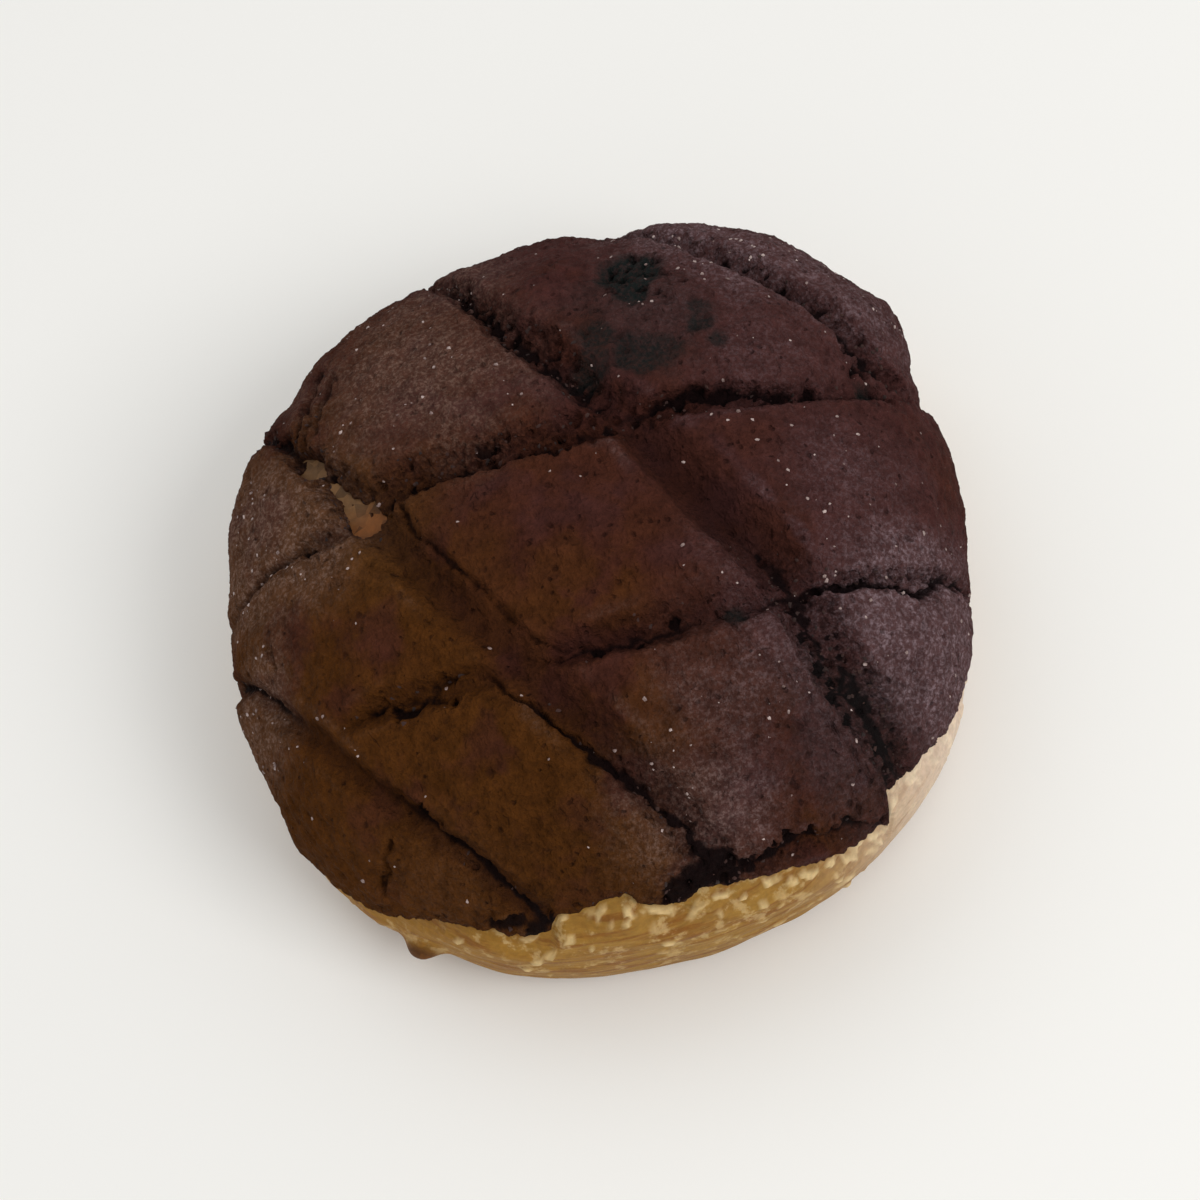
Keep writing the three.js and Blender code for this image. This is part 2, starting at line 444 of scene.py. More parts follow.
@dataclass(frozen=True)
class DoughFace:
    """The points of the scored face, with the noises that several of its features read."""

    points: np.ndarray
    normals: np.ndarray
    share: np.ndarray
    fine: np.ndarray
    crumb: np.ndarray
    coarse: np.ndarray

    @classmethod
    def over(cls, points: np.ndarray, normals: np.ndarray, share: np.ndarray) -> "DoughFace":
        """Work the noises out over the face.

        Args:
            points: Points of the envelope, in millimetres.
            normals: The envelope's normals there.
            share: How far each point is from the crown to the rim.

        Returns:
            The face.
        """
        sizes = {Seed.FINE: 2.4, Seed.CRUMB: 1.1, Seed.COARSE: 13.0}
        noises = (Noise(seed).at(points, size, 2) for seed, size in sizes.items())
        return cls(points, normals, share, *noises)


@dataclass
class Carving:
    """What the grooves, tears and pits have done at each point of the scored face.

    cut is the depth of the valleys, and crack that of the tears. torn says how rough the dough
    is, brink where a groove's rim runs, which gets a painted highlight, nearest how far the
    nearest groove is, and slide how far an overhanging wall leans out.
    """

    cut: np.ndarray
    crack: np.ndarray
    torn: np.ndarray
    brink: np.ndarray
    nearest: np.ndarray
    slide: np.ndarray

    @classmethod
    def blank(cls, count: int, far: float = 30.0) -> "Carving":
        """A face of so many points that nothing has touched yet."""
        untouched = (np.zeros(count) for _ in range(4))
        return cls(*untouched, np.full(count, far), np.zeros((count, 3)))

    def deepen(self, crack: np.ndarray) -> None:
        """Tear the face down to a depth where it isn't as deep yet."""
        self.crack = np.maximum(self.crack, crack)

    def roughen(self, torn: np.ndarray) -> None:
        """Make the dough rough where it isn't as rough yet."""
        self.torn = np.maximum(self.torn, torn)


@dataclass(frozen=True)
class Spot:
    """A round patch in plan, such as a scorch mark or a pit."""

    x: float
    y: float
    radius: float
    strength: float = 1.0

    def cover(self, points: np.ndarray, wobble: np.ndarray, solid: float) -> np.ndarray:
        """How far each point lies inside the patch.

        Args:
            points: Places in millimetres.
            wobble: A change of the radius at each point, as a share of it.
            solid: The share of the radius over which the patch is at its full strength.

        Returns:
            Values from 0 outside to the spot's strength inside.
        """
        distance = np.hypot(points[:, 0] - self.x, points[:, 1] - self.y) / self.radius
        return self.strength * (1 - smoothstep(solid, 1.7 - solid, distance + wobble))


def patchwork(
    spots: Sequence[Spot], points: np.ndarray, wobble: np.ndarray, solid: float
) -> np.ndarray:
    """The cover of the strongest of several spots at each point, as Spot.cover gives it."""
    return reduce(np.maximum, (spot.cover(points, wobble, solid) for spot in spots))


@dataclass(frozen=True)
class Station:
    """The section of a groove at one place along it, in millimetres.

    left and right are the half widths on the two sides of the line, right being the side that
    the line's normal points to. crack is the depth of the tear in the valley, and at is how far
    it lies to the right. torn says how rough the walls are, from 0 to 1. A positive overhang
    leans the right wall over the tear. shift moves the whole section to the right.
    """

    along: float
    left: float
    right: float
    depth: float
    crack: float = 0.0
    at: float = 0.0
    torn: float = 0.0
    overhang: float = 0.0
    shift: float = 0.0


@dataclass(frozen=True)
class Groove:
    """One scored line: a nearly straight valley across the bun, with its own wander."""

    angle: float
    offset: float
    curl: float
    seed: int
    stations: tuple[Station, ...]
    wander: float = 0.8
    crack_width: float = 0.55
    pit_spacing: float = 1.7
    pit_radii: tuple[float, float] = (0.35, 1.15)
    pit_threshold: float = 0.25

    def section(self, name: str, along: np.ndarray) -> np.ndarray:
        """A station value, eased between the stations."""
        places = [station.along for station in self.stations]
        return np.interp(along, places, [getattr(station, name) for station in self.stations])

    def frame(self, points: np.ndarray) -> tuple[np.ndarray, np.ndarray, np.ndarray]:
        """Distances along and across the line in plan.

        Args:
            points: Places in millimetres.

        Returns:
            Distances along and across, and the line's normal in plan.
        """
        a = math.radians(self.angle)
        normal = np.array([-math.sin(a), math.cos(a), 0.0])
        along = points[:, 0] * normal[1] - points[:, 1] * normal[0]
        across = points @ normal - self.offset - self.curl * along**2
        return along, across - self.section("shift", along), normal

    def carve(self, face: DoughFace, carving: Carving) -> None:
        """Press the line into the face, and tear the dough in its valley.

        Args:
            face: The face's points and noises.
            carving: What has been done to the face so far, which is added to.
        """
        along, across, line_normal = self.frame(face.points)
        level = 1 - (face.normals @ line_normal) ** 2
        facing = smoothstep(0.2, 0.5, np.sqrt(np.clip(level, 0, None)))
        rough, depth = self.section("torn", along), self.section("depth", along)
        wander = self.wander * Noise(self.seed).at(face.points, 15.0, 2) + 0.45 * rough * face.fine
        distance = across / np.sqrt(np.maximum(0.15, level)) + wander
        half = np.where(distance > 0, self.section("right", along), self.section("left", along))
        reach = np.abs(distance) / half
        valley = np.clip(1 - reach**2, 0, None) ** 1.6
        brink = np.exp(-(((reach - 1.12) / 0.26) ** 2)) * np.clip(depth / 3.0, 0, 1)
        carving.cut = np.maximum(carving.cut, depth * valley * facing)
        carving.brink = np.maximum(carving.brink, brink)
        carving.nearest = np.minimum(carving.nearest, np.abs(distance))
        carving.roughen(rough * (1 - smoothstep(0.55, 1.15, reach)) * facing)

        jag = (0.3 + rough) * Noise(self.seed + Seed.GROOVE_JAG).at(face.points, 3.8, 3)
        jag = jag + (0.15 + 0.1 * rough) * face.crumb
        gape = 1 + 0.9 * Noise(self.seed + Seed.GROOVE_GAPE).at(face.points, 4.0, 2)
        width = self.crack_width * np.clip(gape * (1 + 0.7 * rough), 0.3, 2.6)
        off_line = distance - self.section("at", along) + jag
        rift = np.exp(-1.2 * (off_line / width) ** 2)
        carving.deepen(self.section("crack", along) * rift * facing)
        lean = self.section("overhang", along)
        side = np.where(lean < 0, -off_line, off_line)
        upper = smoothstep(0.3, 1.3, side) * np.exp(-np.clip(side - 1.3, 0, None) / 2.0)
        carving.slide -= (lean * upper)[:, None] * line_normal

    def pits(self) -> list[Spot]:
        """Small pits torn into the rough stretches of the line.

        Returns:
            The pits, in plan.
        """
        rng = np.random.default_rng(self.seed + int(Seed.GROOVE_PITS))
        a = math.radians(self.angle)
        found = []
        for along in np.arange(self.stations[0].along, self.stations[-1].along, self.pit_spacing):
            t = along + rng.uniform(-1, 1)
            reach = 0.2 * float(self.section("left", t) + self.section("right", t))
            middle = float(self.section("shift", t) + self.section("at", t))
            across = self.offset + self.curl * t * t + middle + rng.uniform(-reach, reach)
            radius = rng.uniform(*self.pit_radii)
            if rng.uniform() < float(self.section("torn", t)) - self.pit_threshold:
                x = -math.sin(a) * across + math.cos(a) * t
                y = math.cos(a) * across + math.sin(a) * t
                found.append(Spot(x, y, radius))
        return found


@dataclass(frozen=True)
class Tear:
    """A crack in a tile, along a short path in plan."""

    path: tuple[tuple[float, float], ...]
    width: float = 0.8
    depth: float = 1.3
    torn: float = 0.0

    def carve(self, face: DoughFace, carving: Carving) -> None:
        """Tear the face open along the path.

        Args:
            face: The face's points and noises.
            carving: What has been done to the face so far, which is added to.
        """
        distance = distance_to_path(face.points, self.path) + 0.35 * face.fine + 0.2 * face.crumb
        carving.deepen(self.depth * np.exp(-1.2 * (distance / self.width) ** 2))
        carving.roughen(self.torn * (1 - smoothstep(1.0, 3.0, distance)))


@dataclass(frozen=True)
class Shard:
    """A torn opening with straight sides, given by its corners in plan, anticlockwise."""

    corners: tuple[tuple[float, float], ...]

    def outside(self, points: np.ndarray, margin: float = 0.0) -> np.ndarray:
        """How far each point lies outside the opening.

        Args:
            points: Places in millimetres, of which x and y count.
            margin: How much wider the opening is taken to be.

        Returns:
            Distances in millimetres, negative inside.
        """
        worst = np.full(len(points), -np.inf)
        for (ax, ay), (bx, by) in zip(self.corners, (*self.corners[1:], self.corners[0])):
            length = math.hypot(bx - ax, by - ay)
            side = (points[:, 0] - ax) * (by - ay) - (points[:, 1] - ay) * (bx - ax)
            worst = np.maximum(worst, side / length)
        return worst - margin


def score_lines() -> tuple[Groove, ...]:
    """The two families of grooves, from the right to the left and from the back to the front."""
    return (
        Groove(-61, 48.1, -0.0055, 11, (
            Station(-30, 3.0, 3.6, 2.5, 0.8, 0.0, 0.5, 0.0, -0.3),
            Station(-12, 3.4, 4.2, 4.2, 1.2, 0.4, 0.7, 0.0, 0.8),
            Station(6, 3.4, 4.2, 4.6, 1.4, 0.6, 0.8, 0.0, 2.0),
            Station(14, 3.2, 3.6, 4.4, 2.2, 0.2, 1.0, 0.0, 3.2),
            Station(18, 3.0, 3.2, 4.2, 2.4, 0.2, 1.0, 0.0, 4.8),
            Station(22, 2.8, 2.8, 3.6, 1.8, 0.2, 1.0, 0.0, 8.0),
            Station(26, 2.4, 2.4, 2.6, 1.2, 0.0, 0.6, 0.0, 12.0),
            Station(30, 2.0, 2.0, 0.0, 0.0, 0.0, 0.0, 0.0, 16.0),
        )),
        Groove(-67, 11.7, -0.00035, 12, (
            Station(-56, 1.8, 1.8, 0.6, 0.4, 0.0, 0.6),
            Station(-44, 2.6, 3.0, 2.4, 1.6, 0.2, 1.0, 0.0, 0.4),
            Station(-26, 3.0, 4.4, 3.6, 1.8, -0.4, 1.0, 0.0, 0.0),
            Station(-10, 3.4, 5.2, 3.6, 1.3, -0.6, 0.8, 0.0, 0.3),
            Station(2, 4.2, 5.6, 3.6, 0.3, 0.0, 0.3, 0.0, 1.2),
            Station(18, 4.6, 5.8, 4.4, 0.6, 0.4, 0.15, 0.0, 2.2),
            Station(30, 4.8, 5.8, 4.6, 1.4, 0.6, 0.7, 0.0, 2.8),
            Station(38, 5.0, 5.6, 4.8, 2.2, 0.0, 1.0, 0.0, 2.6),
            Station(46, 5.0, 5.4, 4.8, 2.4, 0.0, 1.0, 0.0, 1.2),
            Station(54, 4.0, 4.2, 4.2, 2.0, 0.0, 1.0, 0.0, 0.4),
            Station(60, 2.6, 2.8, 2.8, 1.2, 0.0, 0.9),
        )),
        Groove(-64, -23.4, 0.00045, 13, (
            Station(-46, 2.6, 2.6, 1.2, 1.6, 0.0, 0.8),
            Station(-34, 3.4, 3.4, 2.6, 1.2, 0.0, 0.8),
            Station(-22, 4.4, 5.0, 4.0, 0.3, 0.0, 0.7),
            Station(-14, 4.4, 5.2, 3.4, 0.0, 0.0, 0.35),
            Station(0, 4.2, 4.4, 2.8, 0.0, 0.0, 0.15),
            Station(12, 4.2, 4.4, 2.2, 0.2, -5.2, 0.1),
            Station(15, 4.6, 4.6, 2.2, 1.1, -5.0, 0.2, -0.7),
            Station(25, 4.4, 5.2, 3.0, 1.6, -2.8, 0.3, -1.0),
            Station(34, 4.0, 5.2, 3.4, 2.0, -2.3, 0.4, -1.0),
            Station(44, 3.6, 5.0, 3.8, 2.4, -0.6, 0.6, -0.9),
            Station(51, 3.2, 4.6, 3.8, 2.4, 0.9, 0.9, -0.5),
            Station(58, 3.0, 4.0, 3.0, 1.8, 1.2, 0.8),
        ), 0.4),
        Groove(-56.5, -50.7, 0.00185, 14, (
            Station(-30, 2.2, 2.5, 1.6, 2.2, 0.0, 0.25, 0.2, 0.6),
            Station(-18, 2.8, 3.4, 2.4, 1.5, 0.0, 0.2, 0.0, 0.3),
            Station(-6, 3.0, 3.6, 2.4, 0.1, 0.0, 0.15, 0.0, 0.2),
            Station(4, 3.0, 3.2, 2.6, 0.7, 0.3, 0.25, 0.2, 0.2),
            Station(16, 2.8, 3.0, 2.8, 1.7, 0.3, 0.35, 0.4),
            Station(28, 3.2, 3.4, 3.4, 2.2, 0.2, 0.3, 0.6),
            Station(38, 3.6, 3.4, 3.2, 2.4, 0.0, 0.5, 0.4),
            Station(44, 3.4, 3.0, 2.4, 1.8, 0.0, 0.6),
        ), 0.5, 0.8),
        Groove(3, 55, -0.008, 15, (
            Station(-40, 3.0, 3.0, 1.6, 0.8, 0.0, 0.4, 0.0, 3.0),
            Station(30, 3.0, 3.0, 1.0, 0.6, 0.0, 0.4, 0.0, 3.4),
        )),
        Groove(-2.5, 5.6, 0.0, 16, (
            Station(-57, 1.2, 1.2, 0.3, 1.0, 0.8, 0.2),
            Station(-43, 1.6, 1.6, 0.7, 1.2, 0.6, 0.3),
            Station(-38, 2.6, 2.6, 2.0, 0.6, 0.0, 0.5),
            Station(-33, 3.6, 4.0, 3.2, 0.2, 0.0, 0.6, 0.0, 0.6),
            Station(-24, 2.8, 5.2, 3.6, 0.8, -0.6, 0.8, 0.0, 2.0),
            Station(-10, 2.2, 5.4, 3.2, 1.6, -0.5, 1.0, 0.0, 1.4),
            Station(2, 2.2, 5.0, 3.0, 1.4, -0.4, 0.9, 0.0, 0.8),
            Station(10, 3.0, 4.6, 3.2, 0.8, 0.6, 0.7, 0.0, 1.2),
            Station(18, 3.6, 3.2, 3.0, 2.2, 1.4, 0.8, 0.5, 2.6),
            Station(26, 3.4, 3.0, 2.6, 2.2, 1.2, 0.8, 0.5, 2.4),
            Station(33, 2.8, 2.4, 2.2, 2.0, 0.8, 0.7, 0.5, 1.4),
            Station(40, 2.2, 2.2, 1.8, 2.0, 0.6, 0.7, 0.4, 1.4),
            Station(47, 1.8, 1.8, 1.4, 1.8, 0.4, 0.6, 0.4, 1.9),
            Station(57, 1.6, 1.6, 1.0, 1.2, 0.2, 0.5, 0.3, 4.4),
        ), 0.5),
        Groove(-1.6, -27.0, 0.0018, 17, (
            Station(-43, 1.6, 2.0, 0.0),
            Station(-37, 2.2, 3.0, 1.4, 1.0, 0.3, 0.3, 0.0, 0.6),
            Station(-28, 2.4, 3.8, 1.8, 1.2, 0.0, 0.5),
            Station(-22, 2.4, 3.8, 1.5, 1.2, 2.4, 0.4),
            Station(-16, 2.6, 3.6, 1.4, 0.1, 0.0, 0.15),
            Station(-6, 2.6, 3.8, 2.0, 1.4, 0.4, 0.3),
            Station(8, 2.6, 4.2, 2.4, 1.5, -0.7, 0.5),
            Station(18, 3.0, 4.2, 2.4, 0.6, -0.6, 0.3),
            Station(30, 2.2, 2.2, 1.4, 2.2, -0.6, 0.6),
            Station(38, 2.0, 2.0, 1.2, 2.6, -1.0, 0.8, 0.4),
            Station(45, 1.8, 1.8, 1.0, 2.6, -2.3, 0.8, 0.4),
            Station(52, 1.8, 1.8, 0.8, 2.2, 0.0, 0.8),
        ), 0.4),
        Groove(7.7, -56.3, 0.0038, 18, (
            Station(-24, 2.0, 2.0, 1.0, 0.6, 0.0, 0.4, 0.0, -1.0),
            Station(-12, 2.8, 2.4, 2.4, 1.8, 0.3, 1.0, 0.5, -1.4),
            Station(0, 3.0, 2.4, 2.6, 2.2, 0.6, 1.0, 0.9, -1.6),
            Station(10, 3.0, 2.4, 2.6, 2.2, 0.6, 1.0, 1.0, -1.8),
            Station(18, 2.6, 2.2, 2.4, 2.2, 0.6, 1.0, 1.0, -2.4),
            Station(26, 2.0, 2.0, 1.4, 1.4, 0.3, 0.8, 0.4, -2.8),
        ), 0.4),
    )


def loose_tears() -> tuple[Tear, ...]:
    """Cracks inside the tiles and off the ends of the grooves."""
    return (
        Tear(((-23.8, 6), (-23.1, 0.3), (-21.2, -2.1), (-19.6, -5.6), (-15.5, -12.8)), 0.6, 1.3),
        Tear(((-15.5, -12.8), (-14, -17), (-10.7, -22.8), (-7.4, -25.5), (-2.5, -26.9)), 0.55, 1.1),
        Tear(((-31.2, -1.4), (-27, -4.8), (-23.5, -8.6), (-22.6, -10.9)), 0.45, 0.8),
        Tear(
            ((-39.3, -38.8), (-41, -40.1), (-41.1, -41.5), (-42.9, -41.4), (-42.6, -42)),
            0.4, 1.2, 0.2,
        ),
        Tear(((-29.1, -52.6), (-27.1, -53.6), (-24.9, -54.2)), 0.6, 2.2, 0.3),
        Tear(((-24.5, -55.4), (-22.4, -55.7)), 0.7, 2.2, 0.3),
        Tear(((-49, -4), (-49, -8)), 0.5, 0.9),
        Tear(((-37.4, -22.4), (-36.2, -23.2), (-34.8, -22.7)), 0.45, 1.8, 0.3),
        Tear(((-33.9, -23.4), (-33.2, -24.2), (-31.9, -25.2), (-30.2, -25.6)), 0.6, 2.0, 0.5),
        Tear(((-29.4, -24.9), (-28.2, -24.2), (-26.8, -23.2), (-24.6, -22.9)), 0.4, 1.6, 0.2),
        Tear(((-27.6, -25.2), (-26.6, -26), (-24.5, -27)), 0.5, 1.5, 0.3),
        Tear(((-33, -3.2), (-37, -1.8)), 0.45, 0.7),
        Tear(((20, -43), (23, -46)), 0.5, 0.6),
        Tear(((-3.5, -57.8), (1, -57), (5.5, -56.3)), 1.2, 3.2, 1.0),
        Tear(((-30.5, 40), (-34, 34), (-37, 29)), 0.8, 1.5, 0.3),
        Tear(((-28.5, 36), (-31.5, 31), (-33.5, 26)), 0.7, 1.3, 0.3),
        Tear(((-33.5, 31.5), (-35, 27), (-37.5, 24.5)), 0.6, 1.1, 0.3),
    )

# ---------------------------------------------------------------- cookie crust


@dataclass
class CookieCrust:
    """The scored cookie sheet, with its torn rim and the split that shows the bun.

    rim gives the rim's height at each bearing. thinnest is what is left of the sheet under the
    deepest cut. The spots, tears and pits are places in plan.
    """

    envelope: Envelope
    rings: int = 205
    ring_step: int = 6
    hidden_counts: tuple[int, ...] = (12, 24, 48, 96, 150, 210, 300)
    crown_thickness: float = 6.2
    rim_thickness: float = 1.8
    thinnest: float = 0.9
    lip: float = 1.6
    lip_drop: float = 0.75
    wrinkle_depth: float = 0.5
    crease_depth: float = 0.4
    shoulder_depth: float = 0.9
    shoulder_width: float = 6.0
    hole_depth: float = 1.4
    pit_depth: float = 1.8
    char_depth: float = 0.5
    split_depth: float = 0.3
    # Strength of the painted highlight along the groove rims.
    rim_highlight_strength: float = 0.4
    amber_patch: Spot = Spot(-29.0, 4.0, 7.75)
    faces_kept: int = 186000
    grooves: tuple[Groove, ...] = field(default_factory=score_lines)
    tears: tuple[Tear, ...] = field(default_factory=loose_tears)
    rim: tuple[tuple[float, float], ...] = (
        (-165, 14.6), (-155, 15.6), (-149, 16.8), (-142, 17.8), (-136, 19), (-132, 21), (-127, 24),
        (-122, 25.4), (-115, 24.6), (-111, 25.6), (-109.5, 29), (-106, 29.5), (-100, 31),
        (-97.5, 28.2), (-92, 26.4), (-89, 27.9), (-84, 26.8), (-76, 25.3), (-71, 22),
        (-65, 18.6), (-61, 18.6), (-59.5, 24.5), (-54, 23.2), (-51, 22.6), (-46, 20), (-38, 16),
        (-30, 14.5), (0, 15), (20, 18), (40, 15.5), (80, 14), (120, 15), (152, 19), (175, 16.5),
    )
    char_spots: tuple[Spot, ...] = (
        Spot(19.8, 34.4, 5.6, 1.2), Spot(19, 30, 3.4, 1.0), Spot(27.5, 23.5, 2.4, 0.8),
        Spot(26.8, 19.8, 2.6, 0.85), Spot(28, 16.4, 2.0, 0.75), Spot(11, 23, 3.6, 0.8),
        Spot(16.4, 17.4, 4.4, 0.85), Spot(9.5, 18.4, 3.8, 0.7), Spot(17.5, -28, 1.9, 0.8),
        Spot(20.5, 16.5, 3.4, 0.7), Spot(47.8, 6.2, 2.2, 0.8), Spot(18, 24, 13, 0.3),
        Spot(28, -45, 12, 0.26),
    )
    # Patches of grey bloom, which also stand for a painted sheen on the shoulders.
    dust_and_sheen_spots: tuple[Spot, ...] = (
        Spot(-18, 30, 21, 0.8), Spot(42, -32, 15, 1.2), Spot(27, -45, 13, 0.4),
        Spot(40, 36, 15, 0.85), Spot(50, 22, 12, 0.65), Spot(-44, 14, 15, 1.2), Spot(4, -50, 13, 0.7),
        Spot(29, 47, 12, 1.1), Spot(34, 14, 14, 0.35), Spot(22, -34, 16, 0.5), Spot(12, -40, 12, 0.5),
        Spot(-34, -48, 11, 0.2), Spot(-6, 46, 12, 0.7), Spot(40, -10, 12, 0.4), Spot(24, 26, 12, 0.35),
        Spot(-54, -10, 10, 0.85),
    )
    split: tuple[Shard, ...] = (
        Shard(((-37.5, 25.8), (-38.9, 22.8), (-37.2, 19.4), (-34.9, 19.8), (-35.1, 23.4))),
        Shard(((-35.1, 18.8), (-34.8, 15.2), (-33.0, 11.6), (-31.6, 12.2), (-33.0, 16.6))),
        Shard(((-33.8, 12.6), (-33.3, 7.6), (-31.4, 4.2), (-28.6, 5.4), (-29.9, 11.0))),
        Shard(((-31.0, 11.2), (-30.2, 5.6), (-27.4, 6.6), (-28.7, 10.9))),
    )
    pits: tuple[Spot, ...] = (
        Spot(17.0, 37.1, 0.8), Spot(21.0, 38.3, 0.9), Spot(18.2, 33.8, 1.0), Spot(20.3, 30.0, 0.8),
        Spot(23.8, 36.7, 0.9), Spot(16.6, 34.4, 0.6), Spot(19.6, 36.4, 0.6), Spot(22.2, 33.4, 0.6),
        Spot(24.6, 33.0, 0.7), Spot(15.6, 31.2, 0.7), Spot(26.5, 29.6, 0.6), Spot(22.4, 28.2, 0.5),
        Spot(47.9, 10.2, 1.6), Spot(48.6, 7.0, 1.5), Spot(46.9, 13.2, 1.1), Spot(50.4, 4.4, 1.0),
        Spot(9, -26.5, 1.1), Spot(-6.5, 43.2, 1.3), Spot(-5.3, 38.6, 1.2), Spot(-2.6, 34.6, 1.0),
        Spot(0.4, 27.4, 1.3), Spot(3.6, 20.6, 1.1), Spot(6.4, 16.6, 1.3), Spot(26.2, -32.5, 0.9),
        Spot(27.2, -37.1, 1.3), Spot(27.5, -41.3, 1.2), Spot(28.6, -44.1, 1.0),
        Spot(31.9, -47.3, 1.0), Spot(31.8, -49.2, 0.8),
    )

    def thickness(self, share: np.ndarray) -> np.ndarray:
        """The sheet's thickness at a share of the way from the crown to the rim."""
        return self.rim_thickness + (self.crown_thickness - self.rim_thickness) * (1 - share**3)

    def rim_arc(self, phi: np.ndarray) -> np.ndarray:
        """Length over the surface from the crown to the torn rim.

        Args:
            phi: Angles round the bun in radians.

        Returns:
            One length for each angle.
        """
        bearings, heights = np.array(self.rim).T
        z = np.interp(np.degrees(phi), bearings, heights, period=360)
        length = np.interp(self.envelope.polar_at_height(z), *self.envelope.arc_table())
        ring = outward(phi) * self.envelope.mean_radius
        wave, nibble = Noise(Seed.RIM_WAVE), Noise(Seed.RIM_NIBBLE)
        return length + 0.7 * wave.at(ring, 6.0, 2) + 0.35 * nibble.at(ring, 1.6, 2)

    def polar_at(self, phi: np.ndarray, share: np.ndarray) -> np.ndarray:
        """The polar angle at a share of the way from the crown to the rim."""
        polar, arc = self.envelope.arc_table()
        return np.interp(share * self.rim_arc(phi), arc, polar)

    def carve(self, face: DoughFace) -> Carving:
        """Press the grooves in, tear the cracks open and prick the pits.

        Args:
            face: The scored face before anything is done to it.

        Returns:
            What was done at each of its points.
        """
        carving = Carving.blank(len(face.points))
        for line in (*self.grooves, *self.tears):
            line.carve(face, carving)
        holes = smoothstep(0.3, 0.62, Noise(Seed.HOLE).at(face.points, 1.9, 2))
        carving.deepen(self.hole_depth * holes * smoothstep(0.35, 0.9, carving.torn))
        pits = [*self.pits, *(pit for groove in self.grooves for pit in groove.pits())]
        wobble = 0.2 * face.fine + 0.4 * face.crumb
        level = smoothstep(0.2, 0.5, face.normals[:, 2])
        carving.deepen(self.pit_depth * patchwork(pits, face.points, wobble, 0.75) * level)
        return carving

    def height(
        self, face: DoughFace, carving: Carving, char: np.ndarray, gap: np.ndarray
    ) -> np.ndarray:
        """How far each point of the scored face moves along its normal.

        Args:
            face: The face's points and noises.
            carving: What the grooves, tears and pits have done.
            char: How scorched each point is.
            gap: How far each point lies in the split, from 0 to 1.

        Returns:
            Heights in millimetres, negative inwards.
        """
        wrinkles = np.abs(Noise(Seed.WRINKLE).at(face.points * (1.0, 0.45, 1.0), 3.0, 2))
        creases = np.abs(Noise(Seed.CREASE).at(face.points * (1.0, 0.55, 1.0), 1.5, 2))
        lumps = 0.65 * Noise(Seed.LUMP).at(face.points, 3.0, 2) + 0.55 * face.crumb
        height = 0.4 * face.coarse + 0.25 * Noise(Seed.SWELL).at(face.points, 6.0, 2)
        height = height - self.wrinkle_depth * wrinkles - self.crease_depth * creases
        thickness = self.thickness(face.share)
        shoulder = self.shoulder_depth * np.exp(-carving.nearest / self.shoulder_width)
        height = height - (carving.cut + shoulder) * thickness / self.crown_thickness
        room = thickness - self.thinnest
        height = height + carving.torn * lumps - carving.crack * smoothstep(0.0, 1.8, room)
        height = height - self.char_depth * char * smoothstep(0.3, 1.0, char)
        floor = 0.5 * carving.torn - room
        soft = 0.7 * floor
        height = np.where(height < soft, soft + 0.45 * (height - soft), height)
        return np.maximum(height, floor) * (1 - gap) + (floor - self.split_depth) * gap

    def relief(self, face: DoughFace) -> tuple[np.ndarray, dict[Mark, np.ndarray]]:
        """Shape the scored face.

        Args:
            face: The face before anything is done to it.

        Returns:
            How far each point moves, and the marks for the finish.
        """
        carving = self.carve(face)
        points, fine, coarse = face.points, face.fine, face.coarse
        char = patchwork(self.char_spots, points, 0.3 * coarse + 0.18 * fine, 0.55)
        dust = patchwork(self.dust_and_sheen_spots, points, 0.35 * coarse, 0.0)
        # Painted highlight: a pale band along each groove's rim, joined to the bloom and sheen mark.
        painted_rim_highlight = np.clip(carving.brink - np.clip(carving.cut / 2.0, 0, 1), 0, 1)
        painted_rim_highlight = self.rim_highlight_strength * painted_rim_highlight * np.clip(0.2 + 2.0 * coarse, 0, 1)
        openings = (shard.outside(points) + 0.3 * fine for shard in self.split)
        gap = 1 - smoothstep(-0.1, 0.35, reduce(np.minimum, openings))
        patch = self.amber_patch
        away = np.hypot(points[:, 0] - patch.x, (points[:, 1] - patch.y) / 1.5) / patch.radius
        marks = {
            Mark.TORN: np.clip(carving.torn + 0.5 * gap, 0, 1),
            Mark.CREVICE: np.clip(carving.crack / 1.6, 0, 1),
            Mark.CHAR: np.clip(char, 0, 1),
            # Painted shade in the cracks.
            Mark.AMBER: np.exp(-(away**2)),
            # Painted shade in the groove valleys.
            Mark.SCORE: np.clip(carving.cut / 4.0, 0, 1) * (1 - 0.5 * np.clip(carving.torn, 0, 1)),
            # Grey bloom and painted sheen, with the painted rim highlights.
            Mark.DUST: np.maximum(dust, painted_rim_highlight),
        }
        height = self.height(face, carving, char, gap)
        return face.normals * height[:, None] + carving.slide, marks

    def outer_face(self) -> tuple[np.ndarray, list[int], dict[Mark, np.ndarray]]:
        """The scored face as rings from the crown to the rim.

        Returns:
            Vertices, the number in each ring, and the marks of each vertex.
        """
        counts = [1] + [self.ring_step * k for k in range(1, self.rings + 1)]
        phi = np.concatenate([ring_angles(count) for count in counts])
        share = np.repeat(np.arange(self.rings + 1) / self.rings, counts)
        polar = self.polar_at(phi, share)
        points, normals = self.envelope.point(phi, polar), self.envelope.normal(phi, polar)
        move, marks = self.relief(DoughFace.over(points, normals, share))
        to_rim = (1 - share) * self.rim_arc(phi)
        curl = 1 - np.sqrt(np.clip(1 - np.clip(1 - to_rim / self.lip, 0, 1) ** 2, 0, 1))
        drop = self.lip_drop * curl * self.thickness(share)
        marks[Mark.TORN] = np.maximum(marks[Mark.TORN], 0.7 * (1 - smoothstep(0.4, 2.2, to_rim)))
        return points + move - normals * drop[:, None], counts, marks

